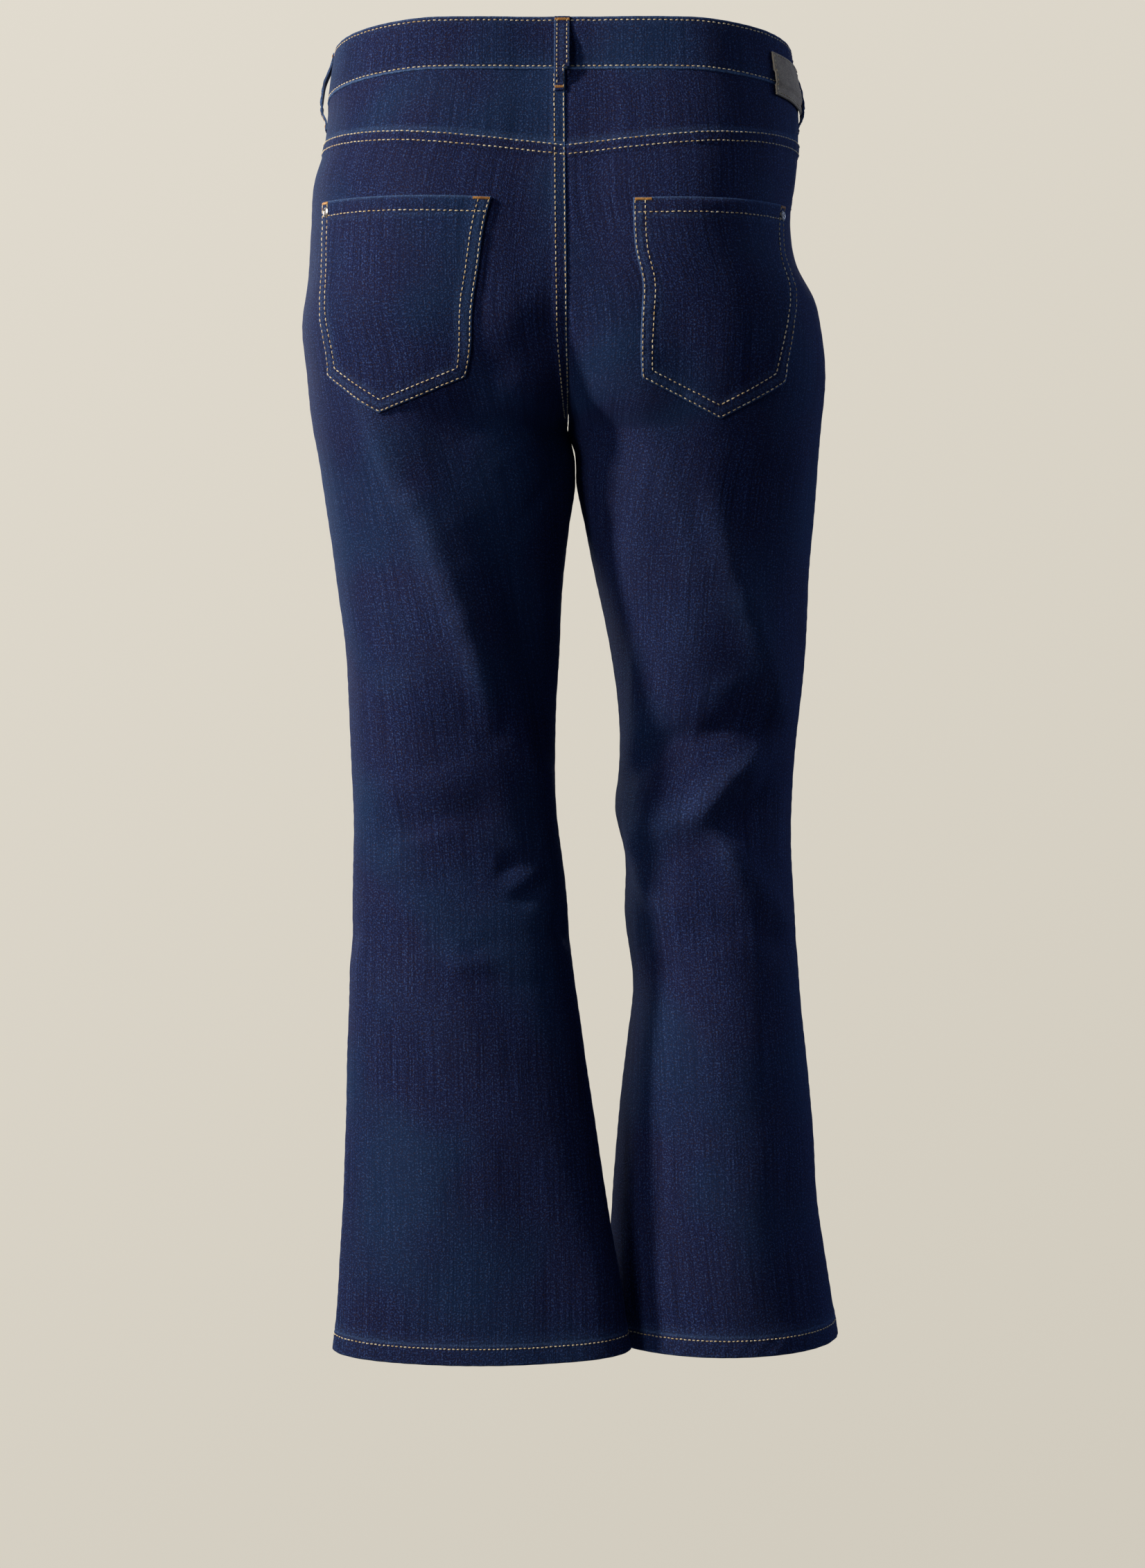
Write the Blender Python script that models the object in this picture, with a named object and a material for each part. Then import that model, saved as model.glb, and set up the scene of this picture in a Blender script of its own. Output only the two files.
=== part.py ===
"""Cropped bootcut jeans in their worn, hollow form, with no wearer: each cut piece is a closed cloth wall.

Metres, +Z up. The front of the jeans faces -Y and the wearer's left is +X. The origin is the centre of the
waist opening at half the height of the waistband.

Each side of the jeans is one lattice of points. Its rows are rings round the hip or the leg, and each ring
runs from the centre front (or the inseam) round the outseam to the centre back (or the inseam again). Every
piece of that side takes its points from the lattice, so seams meet and laid-on pieces follow their carriers.
"""

import math

import bpy
import numpy as np
from mathutils import Vector
from mathutils.bvhtree import BVHTree

WALL = 0.0018  # body denim, pressed, with its turnings
HEM_WALL = 0.0030  # three layers of it in the hem
SEAM_GAP = 0.0003
LAID_GAP = 0.0005  # under a piece that lies on a panel
POCKET_GAP = 0.0009  # under a back pocket, whose flat facets cross those of its panel

WAISTBAND_HEIGHT = 0.040
WAISTBAND_LEAN = 0.006  # how far its top edge leans inwards
WAISTBAND_PROUD = 0.0006  # its face over the panels' face
FLY_END = 0.004  # the upper end of the waistband runs this far past the centre front
UNDER_END = 0.034  # and the lower end lies this far beyond it, underneath
OVERLAP_RUN = 0.040  # over which the lower end goes under
OVERLAP_DROP = 0.0030

WAIST_SIDE_Z = -0.0220  # the waistband seam at the side
WAIST_FRONT_Z = -0.0450  # and at the centre front
WAIST_BACK_Z = -0.0092  # and at the centre back
WAIST_TILT_FALL = 0.40  # down to this fall, height eases from following the depth to following the ring
CROTCH_Z = -0.272
HEM_Z = -0.980
HEM_BACK_DROP = 0.005  # the hem is this much lower at the back than at the side
HEM_FOLD = 0.015
CENTRE_X = (-0.001, -0.004)  # the centre seams' x at the waist and at the crotch
FRONT_MOST = 0.30  # where the waist's foremost and hindmost points lie, as shares of its half width
BACK_MOST = 0.38
GROOVE_START = 0.45  # from this fall down, the centre seams sink between the legs

YOKE_SIDE_Z = -0.0537
YOKE_CENTRE_Z = -0.0673
SCOOP_WIDTH = 0.098  # the front pocket's mouth, along the waistband seam
SCOOP_DEPTH = 0.070  # and down the outseam
FACING_MARGIN = 0.014  # how far the facing runs on under the front

LOOP_WIDTH = 0.011
LOOP_LENGTH = 0.059
LOOP_THICK = 0.0016
LOOP_ARCH = 0.0054
LOOP_FLAT = 0.005  # the bar-tacked end of a loop
LOOP_RISE = 0.022  # over which it leaves the waistband
LOOP_FALL = 0.010  # and comes back to the cloth under it
LOOP_CARRIERS = ("waistband", "yoke_left", "yoke_right", "front_left", "front_right")
SIDE_LOOP_SHARE = {"left": 0.500, "right": 0.475}  # along the seam, from centre front to centre back
FRONT_LOOP_RUN = 0.098  # each side of the centre front

PATCH_SIZE = (0.058, 0.033)
PATCH_GAP = 0.014  # from the side loop
PATCH_DROP = 0.0155  # below the waistband's top edge
PATCH_THICK = 0.0013

POCKET_THICK = 0.0016
ZIP_SIZE = (0.028, 0.125)
ZIP_THICK = 0.0013

BUTTON_RADIUS = 0.0085
BUTTON_HOLE = (0.016, 0.0034)
HOLE_START = 0.002  # from the centre front
BUTTON_RUN = HOLE_START + 0.35 * BUTTON_HOLE[0]
RIVET_RADIUS = 0.0038

LEG_COLUMNS = ("z", "outer", "inner", "front", "back", "fullness")
LEFT_LEG = (  # the straight leg: x of the outer and inner edge, y of the front and back
    (-0.0105, 0.1800, -0.0040, -0.0915, 0.1035, 0.57),
    (-0.0420, 0.1818, -0.0040, -0.0980, 0.1130, 0.58),
    (-0.0600, 0.1845, -0.0040, -0.1020, 0.1190, 0.59),
    (-0.0800, 0.1910, -0.0040, -0.1060, 0.1240, 0.60),
    (-0.1180, 0.1935, -0.0040, -0.1120, 0.1320, 0.60),
    (-0.1550, 0.1960, -0.0040, -0.1140, 0.1340, 0.60),
    (-0.1920, 0.2008, -0.0040, -0.1120, 0.1300, 0.60),
    (-0.2250, 0.1978, -0.0040, -0.1085, 0.1210, 0.59),
    (-0.2720, 0.1925, -0.0040, -0.1040, 0.1050, 0.57),
    (-0.2860, 0.1900, -0.0078, -0.1025, 0.1015, 0.57),
    (-0.3120, 0.1862, -0.0095, -0.0995, 0.0950, 0.56),
    (-0.3443, 0.1817, -0.0052, -0.0955, 0.0890, 0.56),
    (-0.3768, 0.1773, -0.0016, -0.0910, 0.0840, 0.56),
    (-0.4416, 0.1686, 0.0022, -0.0800, 0.0800, 0.56),
    (-0.5065, 0.1653, 0.0054, -0.0700, 0.0760, 0.56),
    (-0.5714, 0.1622, 0.0040, -0.0600, 0.0725, 0.56),
    (-0.6200, 0.1632, -0.0020, -0.0530, 0.0720, 0.56),
    (-0.6686, 0.1645, -0.0062, -0.0450, 0.0740, 0.56),
    (-0.7497, 0.1670, -0.0170, -0.0310, 0.0790, 0.56),
    (-0.8146, 0.1685, -0.0272, -0.0210, 0.0820, 0.56),
    (-0.8795, 0.1705, -0.0364, -0.0100, 0.0845, 0.56),
    (-0.9300, 0.1735, -0.0452, -0.0010, 0.0860, 0.56),
    (-0.9800, 0.1772, -0.0530, 0.0060, 0.0860, 0.56),
)
RIGHT_LEG = (  # the leg that stands forward with its knee a little bent
    (-0.0105, -0.1805, -0.0040, -0.0915, 0.1035, 0.57),
    (-0.0420, -0.1808, -0.0040, -0.0980, 0.1130, 0.58),
    (-0.0780, -0.1790, -0.0040, -0.1060, 0.1240, 0.60),
    (-0.1100, -0.1750, -0.0040, -0.1110, 0.1300, 0.60),
    (-0.1450, -0.1805, -0.0040, -0.1145, 0.1325, 0.60),
    (-0.1720, -0.1945, -0.0040, -0.1145, 0.1305, 0.60),
    (-0.1930, -0.1990, -0.0040, -0.1140, 0.1270, 0.60),
    (-0.2250, -0.2030, -0.0040, -0.1110, 0.1190, 0.59),
    (-0.2720, -0.2000, -0.0040, -0.1080, 0.1030, 0.57),
    (-0.2860, -0.1990, -0.0093, -0.1070, 0.0980, 0.57),
    (-0.3120, -0.1972, -0.0108, -0.1060, 0.0890, 0.56),
    (-0.3443, -0.1948, -0.0170, -0.1075, 0.0790, 0.56),
    (-0.3768, -0.1926, -0.0235, -0.1100, 0.0700, 0.56),
    (-0.4416, -0.1912, -0.0378, -0.1190, 0.0530, 0.56),
    (-0.5065, -0.1854, -0.0450, -0.1255, 0.0350, 0.56),
    (-0.5390, -0.1830, -0.0440, -0.1275, 0.0270, 0.56),
    (-0.5650, -0.1820, -0.0415, -0.1275, 0.0220, 0.56),
    (-0.6038, -0.1815, -0.0490, -0.1240, 0.0210, 0.56),
    (-0.6524, -0.1840, -0.0490, -0.1190, 0.0245, 0.56),
    (-0.7100, -0.1880, -0.0560, -0.1120, 0.0310, 0.56),
    (-0.7497, -0.1915, -0.0512, -0.1070, 0.0380, 0.56),
    (-0.8146, -0.1974, -0.0435, -0.0990, 0.0450, 0.56),
    (-0.8795, -0.2018, -0.0388, -0.0900, 0.0510, 0.56),
    (-0.9300, -0.2088, -0.0358, -0.0840, 0.0550, 0.56),
    (-0.9800, -0.2160, -0.0345, -0.0780, 0.0580, 0.56),
)

RISE_COLUMNS = ("fall", "front_y", "front_z", "back_y", "back_z")
RISE = (  # the centre seams, from the waistband (fall 0) down to the crotch (fall 1)
    (0.00, -0.0915, WAIST_FRONT_Z, 0.1035, WAIST_BACK_Z),
    (0.12, -0.0980, -0.0660, 0.1120, -0.0370),
    (0.25, -0.1055, -0.0990, 0.1205, -0.0760),
    (0.40, -0.1110, -0.1370, 0.1265, -0.1180),
    (0.55, -0.1105, -0.1740, 0.1265, -0.1570),
    (0.70, -0.1020, -0.2100, 0.1170, -0.1960),
    (0.82, -0.0830, -0.2385, 0.0970, -0.2285),
    (0.92, -0.0510, -0.2600, 0.0600, -0.2560),
    (1.00, 0.0000, -0.2720, 0.0000, -0.2720),
)

# Folds. Start and end are (across, z): across is 0 at the outseam and 1 at the inseam or centre seam, as
# the eye sees that face from straight behind or in front. Height is out of the leg, negative for a trough.
FOLD_COLUMNS = ("side", "face", "start", "end", "height", "width")
FOLDS = (
    ("left", "back", (0.33, -0.258), (0.55, -0.370), 0.0040, 0.034),
    ("left", "back", (0.55, -0.370), (0.72, -0.480), 0.0045, 0.030),
    ("left", "back", (0.88, -0.330), (0.93, -0.450), -0.0030, 0.024),
    ("left", "back", (0.20, -0.510), (0.42, -0.500), -0.0030, 0.020),
    ("left", "back", (0.45, -0.500), (0.68, -0.523), 0.0040, 0.018),
    ("left", "back", (0.20, -0.571), (0.62, -0.553), -0.0045, 0.018),
    ("left", "back", (0.60, -0.577), (0.80, -0.618), -0.0040, 0.016),
    ("left", "back", (0.66, -0.556), (0.92, -0.598), 0.0040, 0.018),
    ("left", "back", (0.05, -0.644), (0.90, -0.640), 0.0035, 0.016),
    ("left", "back", (0.02, -0.662), (0.99, -0.658), -0.0045, 0.014),
    ("left", "back", (0.05, -0.680), (0.58, -0.744), 0.0030, 0.020),
    ("left", "back", (0.62, -0.700), (0.90, -0.790), -0.0030, 0.026),
    ("left", "back", (0.30, -0.800), (0.34, -0.930), 0.0030, 0.030),
    ("left", "back", (0.70, -0.830), (0.76, -0.960), -0.0035, 0.030),
    ("right", "back", (0.71, -0.223), (0.73, -0.325), 0.0035, 0.022),
    ("right", "back", (0.73, -0.325), (0.83, -0.387), 0.0030, 0.020),
    ("right", "back", (0.46, -0.322), (0.30, -0.417), 0.0045, 0.026),
    ("right", "back", (0.30, -0.417), (0.10, -0.490), 0.0045, 0.024),
    ("right", "back", (0.62, -0.400), (0.60, -0.470), 0.0030, 0.026),
    ("right", "back", (0.95, -0.530), (0.72, -0.508), -0.0055, 0.018),
    ("right", "back", (0.72, -0.508), (0.38, -0.489), -0.0065, 0.018),
    ("right", "back", (0.38, -0.489), (0.10, -0.511), -0.0050, 0.018),
    ("right", "back", (0.28, -0.512), (0.58, -0.562), 0.0080, 0.018),
    ("right", "back", (0.58, -0.562), (0.97, -0.592), 0.0080, 0.018),
    ("right", "back", (0.10, -0.522), (0.45, -0.570), -0.0060, 0.017),
    ("right", "back", (0.47, -0.574), (0.10, -0.652), 0.0060, 0.019),
    ("right", "back", (0.60, -0.590), (0.40, -0.640), -0.0050, 0.018),
    ("right", "back", (0.97, -0.606), (0.72, -0.652), -0.0050, 0.016),
    ("right", "back", (0.83, -0.645), (0.60, -0.668), 0.0040, 0.016),
    ("right", "back", (0.02, -0.669), (0.16, -0.672), -0.0035, 0.012),
    ("right", "back", (0.88, -0.676), (0.55, -0.700), -0.0030, 0.016),
    ("right", "back", (0.45, -0.760), (0.40, -0.940), 0.0030, 0.030),
    ("right", "back", (0.78, -0.820), (0.80, -0.960), -0.0030, 0.026),
    ("left", "front", (0.92, -0.250), (0.42, -0.205), 0.0030, 0.018),
    ("left", "front", (0.94, -0.276), (0.40, -0.262), -0.0035, 0.018),
    ("left", "front", (0.86, -0.300), (0.36, -0.330), 0.0030, 0.020),
    ("left", "front", (0.25, -0.555), (0.72, -0.585), -0.0040, 0.020),
    ("left", "front", (0.30, -0.610), (0.80, -0.600), 0.0040, 0.020),
    ("left", "front", (0.15, -0.648), (0.62, -0.662), -0.0040, 0.018),
    ("left", "front", (0.42, -0.760), (0.50, -0.940), 0.0030, 0.032),
    ("right", "front", (0.93, -0.246), (0.45, -0.196), 0.0030, 0.018),
    ("right", "front", (0.95, -0.272), (0.34, -0.246), -0.0045, 0.018),
    ("right", "front", (0.90, -0.300), (0.30, -0.298), 0.0035, 0.020),
    ("right", "front", (0.78, -0.470), (0.30, -0.440), -0.0030, 0.024),
    ("right", "front", (0.85, -0.560), (0.55, -0.640), 0.0035, 0.024),
    ("right", "front", (0.12, -0.600), (0.40, -0.680), -0.0040, 0.022),
    ("right", "front", (0.50, -0.740), (0.46, -0.930), 0.0035, 0.034),
)

# Back pockets: each corner's distance behind the outseam and its height, inner corner first. The bow is how
# far the cloth carries each side edge inwards, three quarters of the way down.
POCKETS = {
    "left": {
        "top": ((0.2100, -0.1070), (0.0690, -0.1030)),
        "bottom": ((0.1920, -0.2370), (0.0760, -0.2330)),
        "tip": (0.1210, -0.2630),
        "bow": (0.0080, 0.0060),
    },
    "right": {
        "top": ((0.1980, -0.1070), (0.0560, -0.1050)),
        "bottom": ((0.2120, -0.2380), (0.0980, -0.2390)),
        "tip": (0.1460, -0.2670),
        "bow": (0.0105, 0.0050),
    },
}

SIDES = {"left": 1.0, "right": -1.0}
LATTICE_ROWS = 261
LATTICE_COLUMNS = 161
QUARTER_STEPS = 25


def clear_scene():
    for obj in list(bpy.data.objects):
        bpy.data.objects.remove(obj, do_unlink=True)


def columns_of(names, rows):
    return {name: np.array(values, float) for name, values in zip(names, zip(*rows))}


def curve_through(xs, ys, x):
    """A smooth curve through the points (xs, ys), read at x: Hermite pieces with the neighbours' slopes."""
    slopes = np.gradient(ys, xs)
    i = np.clip(np.searchsorted(xs, x) - 1, 0, len(xs) - 2)
    step = xs[i + 1] - xs[i]
    s = np.clip((x - xs[i]) / step, 0.0, 1.0)
    start = ys[i] * (1 + 2 * s) * (1 - s) ** 2 + slopes[i] * step * s * (1 - s) ** 2
    end = ys[i + 1] * s**2 * (3 - 2 * s) - slopes[i + 1] * step * s**2 * (1 - s)
    return start + end


def unit(vectors):
    lengths = np.linalg.norm(vectors, axis=-1, keepdims=True)
    return vectors / np.maximum(lengths, 1e-12)


def quarter(start, start_way, end, end_way, fullness):
    """One quarter of every ring, a Bezier arc that leaves along start_way and arrives along end_way."""
    span = np.abs(end - start)
    start_reach = (span * np.abs(start_way)).sum(-1, keepdims=True) * fullness[:, None]
    end_reach = (span * np.abs(end_way)).sum(-1, keepdims=True) * fullness[:, None]
    points = (start, start + start_way * start_reach, end - end_way * end_reach, end)
    s = np.linspace(0, 1, QUARTER_STEPS)
    weights = ((1 - s) ** 3, 3 * s * (1 - s) ** 2, 3 * s**2 * (1 - s), s**3)
    return sum(w[None, :, None] * p[:, None, :] for w, p in zip(weights, points))


def spread_evenly(ring, count):
    """Reads one ring again at count points with equal steps along it."""
    steps = np.linalg.norm(np.diff(ring, axis=0), axis=1)
    along = np.concatenate([[0.0], np.cumsum(steps)])
    wanted = np.linspace(0, along[-1], count)
    return np.stack([np.interp(wanted, along, ring[:, k]) for k in range(2)], axis=1)


class Side:
    """The lattice of one side. level 0 is the waistband seam, 1 the crotch and 2 the hem. round_ goes from 0
    at the centre front or inseam, through 0.5 at the outseam, to 1 at the centre back or inseam."""

    def __init__(self, name, leg_rows):
        self.name = name
        self.sign = SIDES[name]
        self.leg = columns_of(LEG_COLUMNS, leg_rows)
        self.rise = columns_of(RISE_COLUMNS, RISE)
        self.levels = np.linspace(0, 2, LATTICE_ROWS)
        self.points = self.smooth_rings()
        self.lengths = self.ring_lengths()
        self.normals = self.outward()
        self.points = self.points + self.normals * self.fold_heights()[..., None]
        self.normals = self.outward()

    def leg_value(self, column, z):
        return curve_through(-self.leg["z"], self.leg[column], -z)

    def smooth_rings(self):
        fall = np.clip(self.levels, 0, 1)
        down = np.clip(self.levels - 1, 0, 1)
        side_z = WAIST_SIDE_Z + (CROTCH_Z - WAIST_SIDE_Z) * fall + (HEM_Z - CROTCH_Z) * down
        outer, inner, front, back, fullness = (
            self.leg_value(name, side_z) for name in LEG_COLUMNS[1:]
        )
        middle_y = (front + back) / 2
        rise = {k: curve_through(self.rise["fall"], self.rise[k], fall) for k in RISE_COLUMNS[1:]}
        seam_x = CENTRE_X[0] + (CENTRE_X[1] - CENTRE_X[0]) * fall + self.sign * SEAM_GAP
        in_leg = self.levels > 1
        inner_x = np.where(in_leg, inner + self.sign * SEAM_GAP, seam_x)
        front_end = np.stack([inner_x, np.where(in_leg, middle_y, rise["front_y"])], axis=1)
        back_end = np.stack([inner_x, np.where(in_leg, middle_y, rise["back_y"])], axis=1)
        turn = np.clip((fall - GROOVE_START) / (1 - GROOVE_START), 0, 1) ** 2 * math.pi / 2
        leaving = np.stack([self.sign * np.cos(turn), -np.sin(turn)], axis=1)
        arriving = np.stack([-self.sign * np.cos(turn), -np.sin(turn)], axis=1)
        leg_middle = (outer + inner) / 2
        share = fall**1.5
        front_x = FRONT_MOST * outer + share * (leg_middle - FRONT_MOST * outer)
        back_x = BACK_MOST * outer + share * (leg_middle - BACK_MOST * outer)
        front_most = np.stack([front_x, front], axis=1)
        back_most = np.stack([back_x, back], axis=1)
        outermost = np.stack([outer, middle_y], axis=1)
        outwards = np.tile([self.sign, 0.0], (len(fall), 1))
        backwards = np.tile([0.0, 1.0], (len(fall), 1))
        plan = (
            quarter(front_end, leaving, front_most, outwards, fullness),
            quarter(front_most, outwards, outermost, backwards, fullness),
            quarter(outermost, backwards, back_most, -outwards, fullness),
            quarter(back_most, -outwards, back_end, arriving, fullness),
        )
        half = (LATTICE_COLUMNS + 1) // 2
        rings = []
        for i in range(len(fall)):
            front_half = spread_evenly(np.concatenate([plan[0][i], plan[1][i][1:]]), half)
            back_half = spread_evenly(np.concatenate([plan[2][i], plan[3][i][1:]]), half)
            rings.append(np.concatenate([front_half, back_half[1:]]))
        rings = np.array(rings)
        ease = (1 - np.cos(np.linspace(0, math.pi, half))) / 2
        front_z = np.where(in_leg, side_z, rise["front_z"])
        back_z = np.where(in_leg, side_z, rise["back_z"])
        z = np.concatenate(
            [
                front_z[:, None] + (side_z - front_z)[:, None] * ease,
                side_z[:, None] + (back_z - side_z)[:, None] * ease[1:],
            ],
            axis=1,
        )
        tilt = np.clip(1 - fall / WAIST_TILT_FALL, 0, 1)
        tilt = (tilt * tilt * (3 - 2 * tilt))[:, None]
        behind, before = back_end[:, 1] - middle_y, middle_y - front_end[:, 1]
        apart = rings[..., 1] - middle_y[:, None]
        back_share = np.clip(apart / np.maximum(behind, 0.01)[:, None], 0, 1)
        front_share = np.clip(-apart / np.maximum(before, 0.01)[:, None], 0, 1)
        level_z = side_z[:, None] + (back_z - side_z)[:, None] * back_share
        level_z += (front_z - side_z)[:, None] * front_share
        z += (level_z - z) * tilt
        depth = apart / ((back - front) / 2)[:, None]
        z -= HEM_BACK_DROP * (down**3)[:, None] * depth
        return np.concatenate([rings, z[..., None]], axis=2)

    def ring_lengths(self):
        """The length of each ring from the outseam to the centre back or inseam."""
        half = LATTICE_COLUMNS // 2
        return np.linalg.norm(np.diff(self.points[:, half:], axis=1), axis=2).sum(1)

    def outward(self):
        along = np.gradient(self.points, axis=1)
        down = np.gradient(self.points, axis=0)
        normals = unit(np.cross(along, down) * -self.sign)
        in_leg = self.levels > 1
        both = unit(normals[:, 0] + normals[:, -1])
        normals[in_leg, 0] = both[in_leg]
        normals[in_leg, -1] = both[in_leg]
        for column in (0, -1):
            edge = normals[~in_leg, column]
            edge[:, 0] = self.sign * np.minimum(self.sign * edge[:, 0], 0)
            normals[~in_leg, column] = unit(edge)
        return normals

    def seen_place(self, face, across, z):
        """The lattice point that the eye sees at this share of the way from the outseam to the inseam."""
        half = LATTICE_COLUMNS // 2
        columns = slice(half, None) if face == "back" else slice(half, None, -1)
        row = np.abs(self.points[:, half, 2] - z).argmin()
        ring = self.points[row, columns]
        x = ring[0, 0] + (ring[-1, 0] - ring[0, 0]) * across
        return ring[np.abs(ring[:, 0] - x).argmin()]

    def fold_heights(self):
        """Each fold raises or sinks the cloth along a line: its section is a bell, lower at the line's ends."""
        heights = np.zeros(self.points.shape[:2])
        for row in FOLDS:
            fold = dict(zip(FOLD_COLUMNS, row))
            if fold["side"] != self.name:
                continue
            start = self.seen_place(fold["face"], *fold["start"])
            way = self.seen_place(fold["face"], *fold["end"]) - start
            share = np.clip((self.points - start) @ way / (way @ way), 0, 1)
            away = np.linalg.norm(self.points - start - share[..., None] * way, axis=2)
            fade = 0.55 + 0.45 * np.sin(math.pi * share)
            heights += fold["height"] * fade * np.exp(-((away / fold["width"]) ** 2))
        return heights

    def read(self, field, level, round_):
        """The points or the normals between the lattice's own, at arrays of level and round_."""
        level, round_ = np.broadcast_arrays(np.asarray(level, float), np.asarray(round_, float))
        row = np.clip(level / 2, 0, 1) * (LATTICE_ROWS - 1)
        column = np.clip(round_, 0, 1) * (LATTICE_COLUMNS - 1)
        i = np.minimum(row.astype(int), LATTICE_ROWS - 2)
        j = np.minimum(column.astype(int), LATTICE_COLUMNS - 2)
        a, b = (row - i)[..., None], (column - j)[..., None]
        upper = field[i, j] * (1 - b) + field[i, j + 1] * b
        lower = field[i + 1, j] * (1 - b) + field[i + 1, j + 1] * b
        return upper * (1 - a) + lower * a

    def at(self, level, round_):
        return self.read(self.points, level, round_), unit(self.read(self.normals, level, round_))

    def find(self, distance, z):
        """(level, round_) at this distance behind the outseam and this height."""
        distance, z = np.broadcast_arrays(np.asarray(distance, float), np.asarray(z, float))
        level = np.clip((z - WAIST_SIDE_Z) / (CROTCH_Z - WAIST_SIDE_Z), 0, 1)
        for _ in range(8):
            length = np.interp(level, self.levels, self.lengths)
            round_ = 0.5 + 0.5 * distance / length
            error = self.read(self.points, level, round_)[..., 2] - z
            level = np.clip(level + error / (WAIST_SIDE_Z - CROTCH_Z), 0, 1)
        return level, round_


def material(name, colour, roughness, metallic=0.0):
    made = bpy.data.materials.new(name)
    made.use_nodes = True
    shader = made.node_tree.nodes["Principled BSDF"]
    shader.inputs["Base Color"].default_value = (*colour, 1.0)
    shader.inputs["Roughness"].default_value = roughness
    shader.inputs["Metallic"].default_value = metallic
    made.diffuse_color = (*colour, 1.0)
    return made


def add_object(name, points, faces, finish):
    mesh = bpy.data.meshes.new(name)
    mesh.from_pydata([tuple(p) for p in points], [], [tuple(int(i) for i in f) for f in faces])
    mesh.materials.append(finish)
    mesh.shade_smooth()
    mesh.set_sharp_from_angle(angle=math.radians(40))
    mesh.validate()
    obj = bpy.data.objects.new(name, mesh)
    bpy.context.scene.collection.objects.link(obj)
    return obj


def wall(name, outer, inner, finish, hole=None):
    """A closed wall between two grids of points. hole is the (row, column) of a cell left open through it."""
    rows, columns = outer.shape[:2]
    number = np.arange(rows * columns).reshape(rows, columns)
    cells = np.stack([number[:-1, :-1], number[:-1, 1:], number[1:, 1:], number[1:, :-1]], axis=-1)
    kept = np.ones(cells.shape[:2], bool)
    if hole:
        kept[hole] = False
    cells = cells[kept]
    points = np.concatenate([outer.reshape(-1, 3), inner.reshape(-1, 3)])
    corners = points[cells]
    facing = np.cross(corners[:, 2] - corners[:, 0], corners[:, 3] - corners[:, 1])
    thickness = points[cells[:, 0]] - points[cells[:, 0] + rows * columns]
    if (facing * thickness).sum() < 0:
        cells = cells[:, ::-1]
    edges = np.concatenate([cells[:, [k, (k + 1) % 4]] for k in range(4)])
    present = {tuple(edge) for edge in edges.tolist()}
    border = [(a, b) for a, b in edges.tolist() if (b, a) not in present]
    under = rows * columns
    rim = [(b, a, a + under, b + under) for a, b in border]
    return add_object(name, points, [*cells, *(cells[:, ::-1] + under), *rim], finish)


def carrier_height(carriers, points, normals):
    """How far the carriers' facets stand past each point of a grid, along normals, neighbours included."""
    reach = 0.02
    graph = bpy.context.evaluated_depsgraph_get()
    trees = [BVHTree.FromObject(bpy.data.objects[name], graph) for name in carriers]
    heights = np.zeros(points.shape[:2])
    for i, j in np.ndindex(heights.shape):
        start = Vector(points[i, j] + normals[i, j] * reach)
        way = Vector(-normals[i, j])
        hits = [tree.ray_cast(start, way, 2 * reach)[3] for tree in trees]
        found = [reach - hit for hit in hits if hit is not None]
        heights[i, j] = max(found, default=0.0)
    padded = np.pad(heights, 1, mode="edge")
    rows, columns = heights.shape
    shifts = [padded[a : a + rows, b : b + columns] for a in range(3) for b in range(3)]
    return np.max(shifts, axis=0)


def trimmed(points, edges):
    """Moves the named edges of a grid in by half a seam gap, along the grid."""
    points = points.copy()
    neighbours = {
        "top": (np.s_[0], np.s_[1]),
        "bottom": (np.s_[-1], np.s_[-2]),
        "first": (np.s_[:, 0], np.s_[:, 1]),
        "last": (np.s_[:, -1], np.s_[:, -2]),
    }
    for edge in edges:
        own, beside = neighbours[edge]
        points[own] += unit(points[beside] - points[own]) * SEAM_GAP / 2
    return points


def panel(name, side, levels, rounds, edges, finish):
    """A cut piece of the body cloth: its face on the lattice, its back one wall further in."""
    points, normals = side.at(levels, rounds)
    down = (np.clip(levels, 1, 2) - 1) * (CROTCH_Z - HEM_Z)
    in_hem = down > CROTCH_Z - HEM_Z - HEM_FOLD - 0.0002
    thick = np.where(in_hem, HEM_WALL, WALL)[..., None]
    inner = trimmed(points, edges) - normals * thick
    return wall(name, trimmed(points, edges), inner, finish)


def leg_levels():
    """The rings of a leg panel below the crotch: closer together at the crotch and the knee, then the hem."""
    hem_line = 2 - HEM_FOLD / (CROTCH_Z - HEM_Z)
    crotch = [1.0, 1.010, 1.022, 1.040, 1.065]
    thigh = np.linspace(1.09, 1.30, 8)
    knee = np.linspace(1.325, 1.60, 13)
    shin = np.linspace(1.635, hem_line - 0.012, 10)
    return np.concatenate([crotch, thigh, knee, shin, [hem_line - 0.002, hem_line, 2.0]])


def yoke_level(round_):
    """The yoke seam's level, from the outseam to the centre back."""
    share = np.clip((round_ - 0.5) / 0.5, 0, 1)
    span = CROTCH_Z - WAIST_SIDE_Z
    side_level = (YOKE_SIDE_Z - WAIST_SIDE_Z) / span
    back_level = (YOKE_CENTRE_Z - WAIST_BACK_Z) / (CROTCH_Z - WAIST_BACK_Z)
    return side_level + (back_level - side_level) * share


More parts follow.
